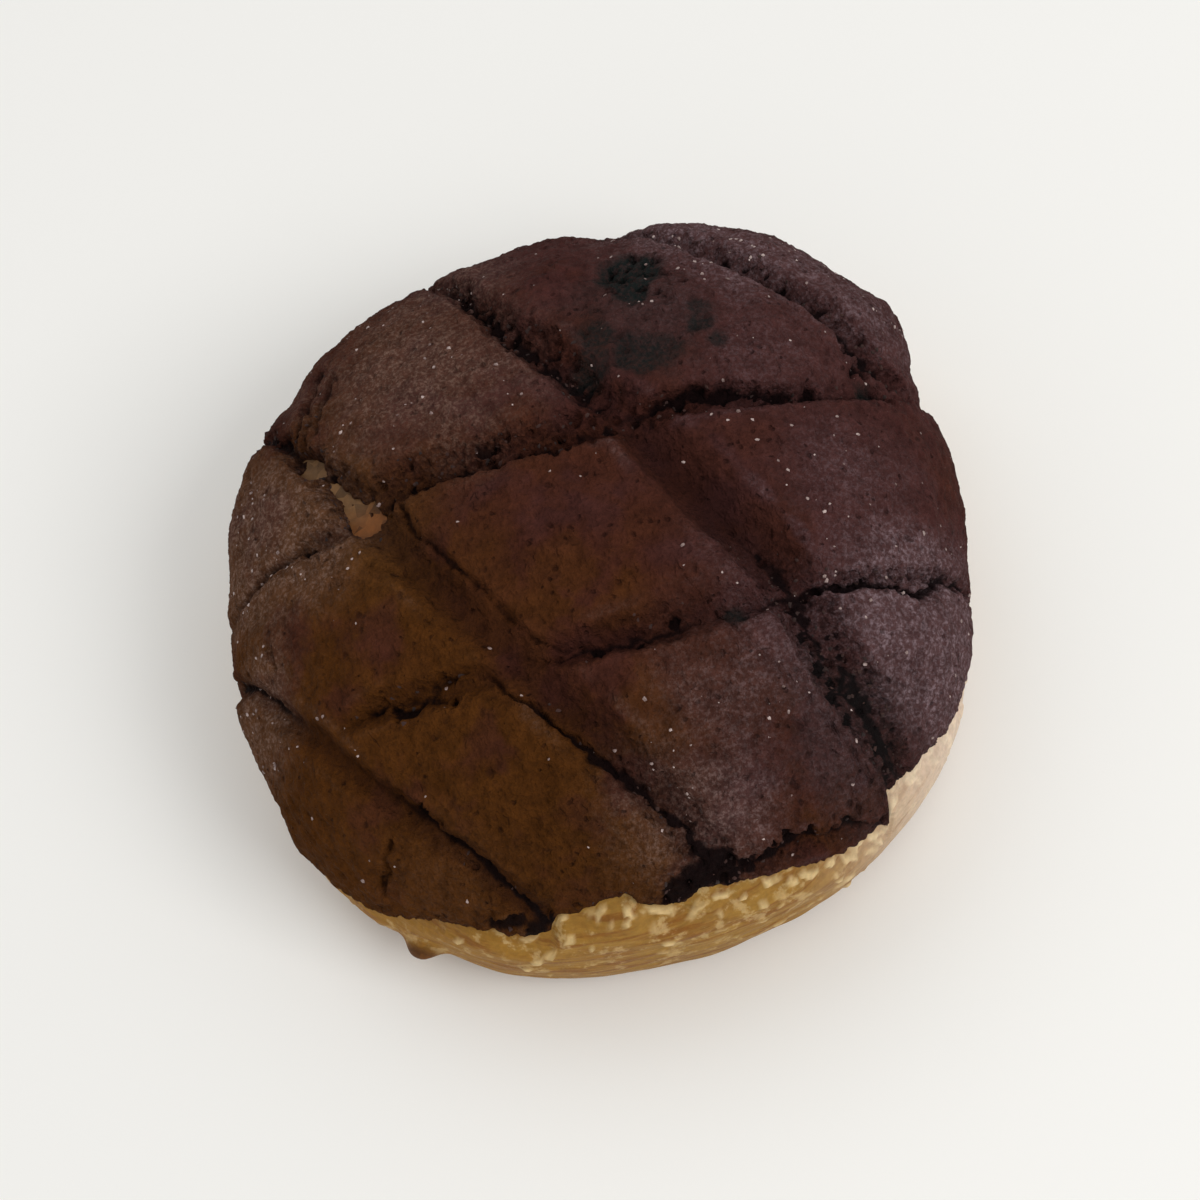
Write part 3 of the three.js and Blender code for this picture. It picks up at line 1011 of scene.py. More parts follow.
    def inner_face(self) -> tuple[np.ndarray, list[int]]:
        """The hidden face as rings from the rim back to the crown.

        Returns:
            Vertices and the number in each ring.
        """
        counts = [self.ring_step * self.rings, *reversed(self.hidden_counts), 1]
        phi = np.concatenate([ring_angles(count) for count in counts])
        share = np.repeat(np.linspace(1.0, 0.0, len(counts)), counts)
        polar = self.polar_at(phi, share)
        inset = self.envelope.normal(phi, polar) * self.thickness(share)[:, None]
        return self.envelope.point(phi, polar) - inset, counts

    def build(self, finish: bpy.types.Material) -> bpy.types.Object:
        """Make the crust as one closed piece.

        Args:
            finish: The crust's material.

        Returns:
            The finished mesh object, dressed in its material.
        """
        outer, outer_counts, marks = self.outer_face()
        inner, inner_counts = self.inner_face()
        faces = ring_faces(outer_counts + inner_counts)
        for mark in marks:
            marks[mark] = np.concatenate([marks[mark], np.zeros(len(inner))])
        piece = mesh_object("cocoa_cookie_crust", np.concatenate([outer, inner]), faces, marks)
        CrumbRelief().attach(piece, finish)
        thin = piece.modifiers.new("thin_out", "DECIMATE")
        thin.ratio = min(1.0, self.faces_kept / len(faces))
        thin.use_collapse_triangulate = True
        return settle(piece)


# ---------------------------------------------------------------- bread


@dataclass
class Bread:
    """The bun under the crust: its hidden crown, its bare side with blisters, and its base.

    The nub is the blob of dough low on the left. Left of smooth_until, in degrees, most of the
    blisters are left out.
    """

    envelope: Envelope
    crust: CookieCrust
    crown_rings: int = 78
    ring_step: int = 6
    side_rings: int = 64
    side_count: int = 640
    base_counts: tuple[int, ...] = (480, 320, 200, 120, 60, 24, 8)
    base_hollow: float = 0.25
    seat_gap: float = 0.3
    swell_length: float = 6.0
    split_swell: float = 1.5
    dark_below: float = 13.0
    blister_count: int = 380
    blister_height: float = 0.45
    smooth_until: float = -116.0
    smooth_share: float = 0.75
    nub_bearing: float = -132.4
    nub_height: float = 10.4
    nub_reach: float = 2.6
    nub_spread: float = 2.9

    def round_from(self, phi: np.ndarray, bearing: float) -> np.ndarray:
        """Millimetres round the bun from a bearing to each angle."""
        return np.radians(turn_between(phi, bearing)) * self.envelope.mean_radius

    def blisters(self, points: np.ndarray, phi: np.ndarray, down: np.ndarray) -> np.ndarray:
        """Pale floury blisters on the bare side, most of them close under the crust's rim.

        Args:
            points: Points of the bare side.
            phi: Their bearings in radians.
            down: Their distances below the rim, over the surface.

        Returns:
            How strongly each point is part of a blister, from 0 to 1.
        """
        rng = np.random.default_rng(int(Seed.BLISTER))
        wobble = 0.4 * Noise(Seed.BLISTER_EDGE).at(points, 1.3, 2)
        cover = np.zeros(len(points))
        for _ in range(self.blister_count):
            bearing = rng.uniform(-180, 180)
            depth = 0.6 + rng.exponential(4.2)
            width, tall = rng.uniform(0.4, 1.6), rng.uniform(0.45, 1.3)
            lean = rng.uniform(-0.4, 0.4)
            if bearing < self.smooth_until and rng.uniform() < self.smooth_share:
                continue
            across = self.round_from(phi, bearing)
            distance = np.hypot(across / width, (down - depth - lean * across) / tall) + wobble
            cover = np.maximum(cover, rng.uniform(0.4, 1.0) * (1 - smoothstep(0.6, 1.05, distance)))
        return cover

    def side(self) -> tuple[np.ndarray, list[int], np.ndarray, np.ndarray]:
        """The bare side as rings from the crust's rim to the base's rim.

        Returns:
            Vertices, the number in each ring, how pale each vertex is, and how far it is part
            of the nub.
        """
        polar_table, arc_table = self.envelope.arc_table()
        counts = [self.side_count] * (self.side_rings + 1)
        phi = np.tile(ring_angles(self.side_count), len(counts))
        share = np.repeat(np.arange(len(counts)) / self.side_rings, self.side_count)
        start = self.crust.rim_arc(phi)
        down = (arc_table[-1] - start) * share
        polar = np.interp(start + down, arc_table, polar_table)
        points, normals = self.envelope.point(phi, polar), self.envelope.normal(phi, polar)
        step = self.crust.rim_thickness + self.seat_gap
        inset = step * (1 - smoothstep(0.0, self.swell_length, down))
        fade = smoothstep(0.0, 1.5, down) * smoothstep(0.2, 4.0, points[:, 2])
        wrinkle = 0.22 * Noise(Seed.SIDE_WRINKLE).at(points * (0.35, 0.35, 1.6), 4.0, 2)
        wrinkle = wrinkle + 0.3 * Noise(Seed.SIDE_SWELL).at(points, 14.0, 2)
        pale = self.blisters(points, phi, down)
        across = self.round_from(phi, self.nub_bearing)
        up = points[:, 2] - self.nub_height - 0.25 * across
        nub = np.exp(-((across**2 + 1.4 * up**2) / self.nub_spread**2) ** 1.3)
        height = fade * (wrinkle + self.blister_height * pale) - inset
        points = points + normals * height[:, None] + outward(phi) * (self.nub_reach * nub)[:, None]
        points[-self.side_count:, 2] = 0.0
        return points, counts, pale * fade, nub

    def crown(self) -> tuple[np.ndarray, list[int], np.ndarray]:
        """The hidden crown, which swells up where the crust has split.

        Returns:
            Vertices, the number in each ring, and how dark each vertex is baked.
        """
        counts = [1] + [self.ring_step * k for k in range(1, self.crown_rings)]
        phi = np.concatenate([ring_angles(count) for count in counts])
        share = np.repeat(np.arange(self.crown_rings) / self.crown_rings, counts)
        polar = self.crust.polar_at(phi, share)
        points, normals = self.envelope.point(phi, polar), self.envelope.normal(phi, polar)
        openings = (shard.outside(points, 1.0) for shard in self.crust.split)
        bulge = 1 - smoothstep(0.0, 2.5, reduce(np.minimum, openings))
        lumpy = 0.35 * Noise(Seed.SPLIT_LUMP).at(points, 2.5, 2)
        inset = self.crust.thickness(share) + self.seat_gap - bulge * (self.split_swell + lumpy)
        darker = smoothstep(0.0, 6.0, self.dark_below - points[:, 1] - 3.0 * lumpy)
        return points - normals * inset[:, None], counts, darker

    def base(self, rim: np.ndarray) -> tuple[np.ndarray, list[int]]:
        """The flat underside as rings that shrink to its middle.

        Args:
            rim: The last ring of the side.

        Returns:
            Vertices and the number in each ring.
        """
        radius = np.hypot(rim[:, 0], rim[:, 1])
        angles = ring_angles(len(rim))
        blocks = []
        for k, count in enumerate(self.base_counts):
            phi = ring_angles(count)
            share = 1 - (k + 1) / (len(self.base_counts) + 1)
            ring = outward(phi) * (np.interp(phi, angles, radius) * share)[:, None]
            ring[:, 2] = self.base_hollow * np.abs(np.sin(4 * phi + k)) * (k % 2)
            blocks.append(ring)
        blocks.append(np.zeros((1, 3)))
        return np.concatenate(blocks), [*self.base_counts, 1]

    def build(self, finish: bpy.types.Material) -> bpy.types.Object:
        """Make the bread as one closed piece.

        Args:
            finish: The bread's material.

        Returns:
            The finished mesh object, dressed in its material.
        """
        crown, crown_counts, baked = self.crown()
        side, side_counts, pale, nub = self.side()
        base, base_counts = self.base(side[-self.side_count:])
        points = np.concatenate([crown, side, base])
        faces = ring_faces(crown_counts + side_counts + base_counts)
        plain = np.zeros(len(base))
        marks = {
            Mark.PALE: np.concatenate([np.zeros(len(crown)), pale, plain]),
            Mark.AMBER: np.concatenate([baked, nub, plain]),
            Mark.TORN: np.concatenate([np.ones(len(crown)), np.zeros(len(side)), plain]),
        }
        piece = mesh_object("milk_bread", points, faces, marks)
        piece.data.materials.append(finish)
        return piece


# ---------------------------------------------------------------- node trees


class Graph:
    """A thin helper that adds and joins nodes in a tree."""

    def __init__(self, tree: bpy.types.NodeTree) -> None:
        """Keep the tree to build in."""
        self.tree = tree

    def add(
        self, kind: str, inputs: Optional[dict[Any, Source]] = None, **settings: Any
    ) -> bpy.types.Node:
        """Add a node.

        Args:
            kind: The node's type name.
            inputs: Values or sockets for its inputs, by name or number.
            settings: Properties of the node.

        Returns:
            The new node.
        """
        node = self.tree.nodes.new(kind)
        for name, value in settings.items():
            setattr(node, name, value)
        for key, value in (inputs or {}).items():
            self.feed(node.inputs[key], value)
        return node

    def feed(self, socket: bpy.types.NodeSocket, value: Source) -> None:
        """Join a socket to another, or give it a value.

        Args:
            socket: The input.
            value: What it gets.
        """
        if isinstance(value, bpy.types.NodeSocket):
            self.tree.links.new(value, socket)
        else:
            socket.default_value = value

    def math(self, operation: str, a: Source, b: Source, clamp: bool = False) -> Source:
        """A Math node's result."""
        node = self.add("ShaderNodeMath", {0: a, 1: b}, operation=operation, use_clamp=clamp)
        return node.outputs[0]

    def plus(self, a: Source, b: Source) -> Source:
        """A sum."""
        return self.math("ADD", a, b)

    def minus(self, a: Source, b: Source) -> Source:
        """A difference."""
        return self.math("SUBTRACT", a, b)

    def times(self, a: Source, b: Source) -> Source:
        """A product."""
        return self.math("MULTIPLY", a, b)

    def over(self, a: Source, b: Source) -> Source:
        """A quotient."""
        return self.math("DIVIDE", a, b)

    def most(self, a: Source, b: Source) -> Source:
        """The larger of two values."""
        return self.math("MAXIMUM", a, b)

    def vector(self, operation: str, inputs: dict[Any, Source]) -> Source:
        """A Vector Math node's result."""
        return self.add("ShaderNodeVectorMath", inputs, operation=operation).outputs[0]

    def axes(self, place: Source) -> list[Source]:
        """The X, Y and Z of a place."""
        return list(self.add("ShaderNodeSeparateXYZ", {0: place}).outputs)

    def ease(
        self, value: Source, low: float, high: float, to: tuple[float, float] = (0.0, 1.0)
    ) -> Source:
        """A smooth ramp from one range to another."""
        inputs = {"Value": value, "From Min": low, "From Max": high, "To Min": to[0], "To Max": to[1]}
        return self.add("ShaderNodeMapRange", inputs, interpolation_type="SMOOTHSTEP").outputs[0]

    def mix(self, factor: Source, a: Source, b: Source, blend: str = "MIX") -> Source:
        """A colour mix's result."""
        settings = {"data_type": "RGBA", "blend_type": blend, "clamp_factor": True}
        return self.add("ShaderNodeMix", {0: factor, 6: a, 7: b}, **settings).outputs[2]

    def grey(self, value: Source) -> Source:
        """A grey of some value."""
        return self.add("ShaderNodeCombineColor", {0: value, 1: value, 2: value}).outputs[0]

    def tint(self, colour: Source, tone: Source) -> Source:
        """A colour made lighter or darker by a factor."""
        return self.mix(1.0, colour, self.grey(tone), "MULTIPLY")

    def noise(
        self, place: Source, scale: Source, detail: float = 3.0, roughness: float = 0.55
    ) -> Source:
        """A noise texture's value, with its scale in lumps per metre."""
        inputs = {"Vector": place, "Scale": scale, "Detail": detail, "Roughness": roughness}
        return self.add("ShaderNodeTexNoise", inputs).outputs[0]

    def cells(self, place: Source, scale: Source, **settings: Any) -> bpy.types.Node:
        """A Voronoi texture, with its scale in cells per metre."""
        return self.add("ShaderNodeTexVoronoi", {"Vector": place, "Scale": scale}, **settings)


def node_group(
    name: str, kind: str, inputs: dict[str, str], outputs: dict[str, str]
) -> tuple[Graph, bpy.types.Node, bpy.types.Node]:
    """Start a node group.

    Args:
        name: The group's name.
        kind: The type name of its tree.
        inputs: Its inputs' names, with their kinds.
        outputs: Its outputs' names, with their kinds.

    Returns:
        The group's graph, its input node and its output node.
    """
    tree = bpy.data.node_groups.new(name, kind)
    for direction, sockets in (("INPUT", inputs), ("OUTPUT", outputs)):
        for label, socket in sockets.items():
            tree.interface.new_socket(label, in_out=direction, socket_type=f"NodeSocket{socket}")
    g = Graph(tree)
    return g, g.add("NodeGroupInput"), g.add("NodeGroupOutput")


def attach_tree(piece: bpy.types.Object, tree: bpy.types.NodeTree, sizes: dict[str, float]) -> None:
    """Put a tree on a piece as its last modifier so far.

    Args:
        piece: The object.
        tree: The geometry nodes.
        sizes: Values of the tree's inputs, by their names.
    """
    modifier = piece.modifiers.new(tree.name, "NODES")
    modifier.node_group = tree
    for item in tree.interface.items_tree:
        if item.in_out == "INPUT" and item.name in sizes:
            modifier[item.identifier] = sizes[item.name]


@dataclass(frozen=True)
class CrumbRelief:
    """Geometry nodes that roughen torn dough along its normals, with pores and grains.

    grain is the height of the roughness, pore the depth of the pores and pore_size the distance
    between them, all in millimetres.
    """

    grain: float = 1.5
    pore: float = 1.3
    pore_size: float = 1.9
    seed: float = 3.0
    grains_per_metre: float = 700.0
    char_share: float = 0.7

    def attach(self, piece: bpy.types.Object, finish: bpy.types.Material) -> None:
        """Put the relief on a piece.

        Args:
            piece: The object, with its marks.
            finish: The material that the piece comes out with.
        """
        sizes = {"Grain": self.grain * MM, "Pore": self.pore * MM, "Pore Size": self.pore_size * MM}
        attach_tree(piece, self.make_tree(finish), {**sizes, "Seed": self.seed})

    def make_tree(self, finish: bpy.types.Material) -> bpy.types.NodeTree:
        """Build the tree with its named inputs.

        Args:
            finish: The material that the tree sets.

        Returns:
            The tree.
        """
        sizes = dict.fromkeys(("Grain", "Pore", "Pore Size", "Seed"), "Float")
        shape = {"Geometry": "Geometry"}
        g, entry, leave = node_group(
            "torn_dough_relief", "GeometryNodeTree", {**shape, **sizes}, shape
        )
        place = g.add("GeometryNodeInputPosition").outputs[0]
        torn, char = (
            g.add("GeometryNodeInputNamedAttribute", {"Name": mark.value}).outputs[0]
            for mark in (Mark.TORN, Mark.CHAR)
        )
        scale = g.over(1.0, entry.outputs["Pore Size"])
        cells = g.cells(place, scale, voronoi_dimensions="4D")
        grain = g.add(
            "ShaderNodeTexNoise",
            {"Vector": place, "Scale": self.grains_per_metre, "Detail": 3.0},
            noise_dimensions="4D",
        )
        for pattern in (cells, grain):
            g.feed(pattern.inputs["W"], entry.outputs["Seed"])
        hollow = g.ease(cells.outputs["Distance"], 0.5, 0.15)
        lift = g.times(g.minus(grain.outputs[0], 0.5), entry.outputs["Grain"])
        reach = g.most(torn, g.times(char, self.char_share))
        height = g.times(reach, g.minus(lift, g.times(hollow, entry.outputs["Pore"])))
        normal = g.add("GeometryNodeInputNormal").outputs[0]
        offset = g.vector("SCALE", {0: normal, "Scale": height})
        moved = g.add("GeometryNodeSetPosition", {"Geometry": entry.outputs[0], "Offset": offset})
        plain = g.add("GeometryNodeRealizeInstances", {0: moved.outputs[0]}).outputs[0]
        dressed = g.add("GeometryNodeSetMaterial", {"Geometry": plain, "Material": finish})
        g.feed(leave.inputs[0], dressed.outputs[0])
        return g.tree


@dataclass(frozen=True)
class Scatter:
    """A sprinkling of small solid grains over one surface, where a mark allows them.

    density is in grains per square millimetre. sink is how deep a grain sits, in millimetres.
    """

    name: str
    density: float
    smallest: float
    largest: float
    sink: float
    seed: int
    squash: float
    uneven: tuple[float, float] = (-0.35, 0.3)
    lean: float = 0.6

    def grain_shape(self) -> bpy.types.Object:
        """A small irregular grain of unit size.

        Returns:
            The grain, which stays in the scene until the scatter is made.
        """
        shape = bmesh.new()
        bmesh.ops.create_icosphere(shape, subdivisions=1, radius=0.5)
        rng = np.random.default_rng(self.seed)
        for vertex in shape.verts:
            vertex.co *= 1 + rng.uniform(*self.uneven)
            vertex.co.z *= self.squash
        mesh = bpy.data.meshes.new(f"{self.name}_shape")
        shape.to_mesh(mesh)
        shape.free()
        return link(mesh.name, mesh)

    def make_tree(self, grain: bpy.types.Object, finish: bpy.types.Material) -> bpy.types.NodeTree:
        """Build the scatter tree.

        Args:
            grain: The shape to repeat.
            finish: The grains' material.

        Returns:
            The tree, with its sizes as named inputs.
        """
        sizes = dict.fromkeys(("Density", "Smallest", "Largest", "Sink"), "Float")
        shape = {"Geometry": "Geometry"}
        g, entry, leave = node_group(self.name, "GeometryNodeTree", {**shape, **sizes}, shape)
        allowed = g.add("GeometryNodeInputNamedAttribute", {"Name": Mark.ALLOWED.value}).outputs[0]
        points = g.add(
            "GeometryNodeDistributePointsOnFaces",
            {
                "Mesh": entry.outputs[0],
                "Density": g.times(allowed, entry.outputs["Density"]),
                "Seed": self.seed,
            },
            distribute_method="RANDOM",
        )
        size = g.add("FunctionNodeRandomValue", {"Seed": self.seed + 1}, data_type="FLOAT")
        g.feed(size.inputs[2], entry.outputs["Smallest"])
        g.feed(size.inputs[3], entry.outputs["Largest"])
        spin = g.add("FunctionNodeRandomValue", {"Seed": self.seed + 2}, data_type="FLOAT_VECTOR")
        g.feed(spin.inputs[0], (-self.lean, -self.lean, 0.0))
        g.feed(spin.inputs[1], (self.lean, self.lean, 2 * math.pi))
        euler = g.add("FunctionNodeEulerToRotation", {0: spin.outputs[0]}).outputs[0]
        rotation = {0: points.outputs["Rotation"], 1: euler}
        turned = g.add("FunctionNodeRotateRotation", rotation, rotation_space="LOCAL")
        down = g.times(entry.outputs["Sink"], -1.0)
        drop = g.vector("SCALE", {0: points.outputs["Normal"], "Scale": down})
        seated = g.add("GeometryNodeSetPosition", {"Geometry": points.outputs[0], "Offset": drop})
        placed = g.add(
            "GeometryNodeInstanceOnPoints",
            {
                "Points": seated.outputs[0],
                "Instance": g.add("GeometryNodeObjectInfo", {"Object": grain}).outputs["Geometry"],
                "Rotation": turned.outputs[0],
                "Scale": size.outputs[1],
            },
        )
        real = g.add("GeometryNodeRealizeInstances", {0: placed.outputs[0]}).outputs[0]
        dressed = g.add("GeometryNodeSetMaterial", {"Geometry": real, "Material": finish})
        g.feed(leave.inputs[0], dressed.outputs[0])
        return g.tree

    def build(
        self, surface: bpy.types.Object, allowed: np.ndarray, finish: bpy.types.Material
    ) -> bpy.types.Object:
        """Scatter the grains over a surface.

        Args:
            surface: The piece that carries them.
            allowed: How likely a grain is at each of its vertices, from 0 to 1.
            finish: The grains' material.

        Returns:
            One plain mesh object with all of the grains.
        """
        grain = self.grain_shape()
        host = link(self.name, surface.data.copy())
        layer = host.data.attributes.new(Mark.ALLOWED.value, "FLOAT", "POINT")
        layer.data.foreach_set("value", np.clip(allowed, 0, 1).astype(np.float32))
        sizes = {"Smallest": self.smallest * MM, "Largest": self.largest * MM}
        sizes |= {"Density": self.density / MM**2, "Sink": self.sink * MM}
        attach_tree(host, self.make_tree(grain, finish), sizes)
        piece = settle(host)
        bpy.data.objects.remove(grain)
        return piece


def vertex_values(piece: bpy.types.Object, mark: Mark) -> np.ndarray:
    """Read a mark from a finished piece.

    Args:
        piece: The object.
        mark: The mark to read.

    Returns:
        Its value at each vertex.
    """
    values = np.zeros(len(piece.data.vertices), dtype=np.float32)
    piece.data.attributes[mark.value].data.foreach_get("value", values)
    return values


def vertex_places(piece: bpy.types.Object) -> tuple[np.ndarray, np.ndarray]:
    """Read the vertices of a finished piece.

    Args:
        piece: The object.

    Returns:
        Their places in millimetres, and their normals.
    """
    count = len(piece.data.vertices)
    places, normals = np.zeros(count * 3, np.float32), np.zeros(count * 3, np.float32)
    piece.data.vertices.foreach_get("co", places)
    piece.data.vertex_normals.foreach_get("vector", normals)
    return places.reshape(-1, 3) / MM, normals.reshape(-1, 3)


# ---------------------------------------------------------------- finishes


def linear(value: float) -> float:
    """A linear value from a screen value of 0 to 255."""
    share = value / 255
    return share / 12.92 if share <= 0.04045 else ((share + 0.055) / 1.055) ** 2.4


def rgb(red: float, green: float, blue: float) -> Colour:
    """A linear colour from screen values of 0 to 255."""
    return (linear(red), linear(green), linear(blue), 1.0)


class SharedGroups:
    """The shader effects that the finishes share, each built once as a node group."""

    def __init__(self) -> None:
        """Build the groups."""
        self.pores = self.make_pores()
        self.creases = self.make_creases()
        self.crumb = self.make_crumb()

    @staticmethod
    def make_pores() -> bpy.types.NodeTree:
        """Scattered pores: small pits of uneven size, which the finishes darken as painted shade.

        Returns:
            The group, with Vector, Scale, Share and Width in, and Mask out.
        """
        inputs = {"Vector": "Vector", "Scale": "Float", "Share": "Float", "Width": "Float"}
        g, entry, leave = node_group("baked_pores", "ShaderNodeTree", inputs, {"Mask": "Float"})
        place = entry.outputs["Vector"]
        bend = g.add("ShaderNodeTexNoise", {"Vector": place, "Scale": 700.0, "Detail": 3.0})
        shift = g.vector("SCALE", {0: bend.outputs["Color"], "Scale": 0.0016})
        cells = g.cells(g.vector("ADD", {0: place, 1: shift}), entry.outputs["Scale"])
        pick = g.add("ShaderNodeSeparateColor", {0: cells.outputs["Color"]}).outputs
        here = g.math("LESS_THAN", pick[0], entry.outputs["Share"])
        wide = g.times(entry.outputs["Width"], g.plus(pick[1], 0.4))
        mask = g.ease(g.over(cells.outputs["Distance"], wide), 1.25, 0.1)
        g.feed(leave.inputs["Mask"], g.times(mask, here))
        return g.tree

    @staticmethod
    def make_creases() -> bpy.types.NodeTree:
        """Short curved creases, as in a dry skin of dough.

        Returns:
            The group, with Vector, Scale and Width in, and Mask out.
        """
        inputs = {"Vector": "Vector", "Scale": "Float", "Width": "Float"}
        g, entry, leave = node_group("skin_creases", "ShaderNodeTree", inputs, {"Mask": "Float"})
        place, scale = entry.outputs["Vector"], entry.outputs["Scale"]
        away = g.math("ABSOLUTE", g.minus(g.noise(place, scale, 2.0, 0.5), 0.5), 0.0)
        line = g.ease(g.over(away, entry.outputs["Width"]), 1.0, 0.0)
        short = g.ease(g.noise(place, g.times(scale, 0.8), 1.0, 0.5), 0.62, 0.78)
        g.feed(leave.inputs["Mask"], g.times(line, short))
        return g.tree

    @staticmethod
    def make_crumb() -> bpy.types.NodeTree:
        """Fine crumb grain, for heights and small changes of colour.

        Returns:
            The group, with Vector and Scale in, and Fine and Broad out.
        """
        inputs, outputs = {"Vector": "Vector", "Scale": "Float"}, {"Fine": "Float", "Broad": "Float"}
        g, entry, leave = node_group("crumb_grain", "ShaderNodeTree", inputs, outputs)
        place, scale = entry.outputs["Vector"], entry.outputs["Scale"]
        g.feed(leave.inputs["Fine"], g.noise(place, scale, 4.0, 0.62))
        g.feed(leave.inputs["Broad"], g.noise(place, g.times(scale, 0.16), 3.0, 0.5))
        return g.tree


class Skin:
    """One material in the making: its graph, its shader, and what its steps can read."""

    def __init__(self, name: str, roughness: float, groups: SharedGroups) -> None:
        """Start the material.

        Args:
            name: The material's name.
            roughness: Its roughness.
            groups: The node groups that it may use.
        """
        self.material = bpy.data.materials.new(name)
        self.material.use_nodes = True
        self.graph = Graph(self.material.node_tree)
        self.inputs = self.material.node_tree.nodes["Principled BSDF"].inputs
        self.inputs["Roughness"].default_value = roughness
        self.place = self.graph.add("ShaderNodeTexCoord").outputs["Object"]
        self.groups = groups

    def mark(self, mark: Mark) -> Source:
        """A vertex mark inside the material."""
        return self.graph.add("ShaderNodeAttribute", attribute_name=mark.value).outputs["Fac"]

    def use(self, group: bpy.types.NodeTree, inputs: dict[str, Source]) -> Sequence[Source]:
        """The outputs of a shared group that is placed in the material.

        Args:
            group: The node group.
            inputs: Values or sockets for its inputs, by name.

        Returns:
            Its outputs, in order.
        """
        node = self.graph.add("ShaderNodeGroup", node_tree=group)
        for name, value in inputs.items():
            self.graph.feed(node.inputs[name], value)
        return node.outputs

    def squeezed(self, factors: tuple[float, float, float]) -> Source:
        """The place, scaled along each axis so that patterns come out longer or shorter."""
        return self.graph.vector("MULTIPLY", {0: self.place, 1: factors})

    def pores(self, scale: float, share: float, width: float) -> Source:
        """Where the pores are, some of them in each cell of the pattern."""
        inputs = {"Vector": self.place, "Scale": scale, "Share": share, "Width": width}
        return self.use(self.groups.pores, inputs)[0]

    def creases(self, place: Source, scale: float, width: float) -> Source:
        """Where the creases are."""
        return self.use(self.groups.creases, {"Vector": place, "Scale": scale, "Width": width})[0]

    def crumb(self, scale: float) -> Sequence[Source]:
        """The fine and the broad grain of the crumb."""
        return self.use(self.groups.crumb, {"Vector": self.place, "Scale": scale})

    def finish(self, colour: Source, roughness: Source) -> None:
        """Join the colour and the roughness to the shader."""
        self.graph.feed(self.inputs["Base Color"], colour)
        self.graph.feed(self.inputs["Roughness"], roughness)

    def bump(self, height: Source, depth: float, strength: float) -> None:
        """Let a height of 0 to 1 raise the surface by a depth in millimetres."""
        inputs = {"Height": height, "Distance": depth * MM, "Strength": strength}
        self.graph.feed(self.inputs["Normal"], self.graph.add("ShaderNodeBump", inputs).outputs[0])


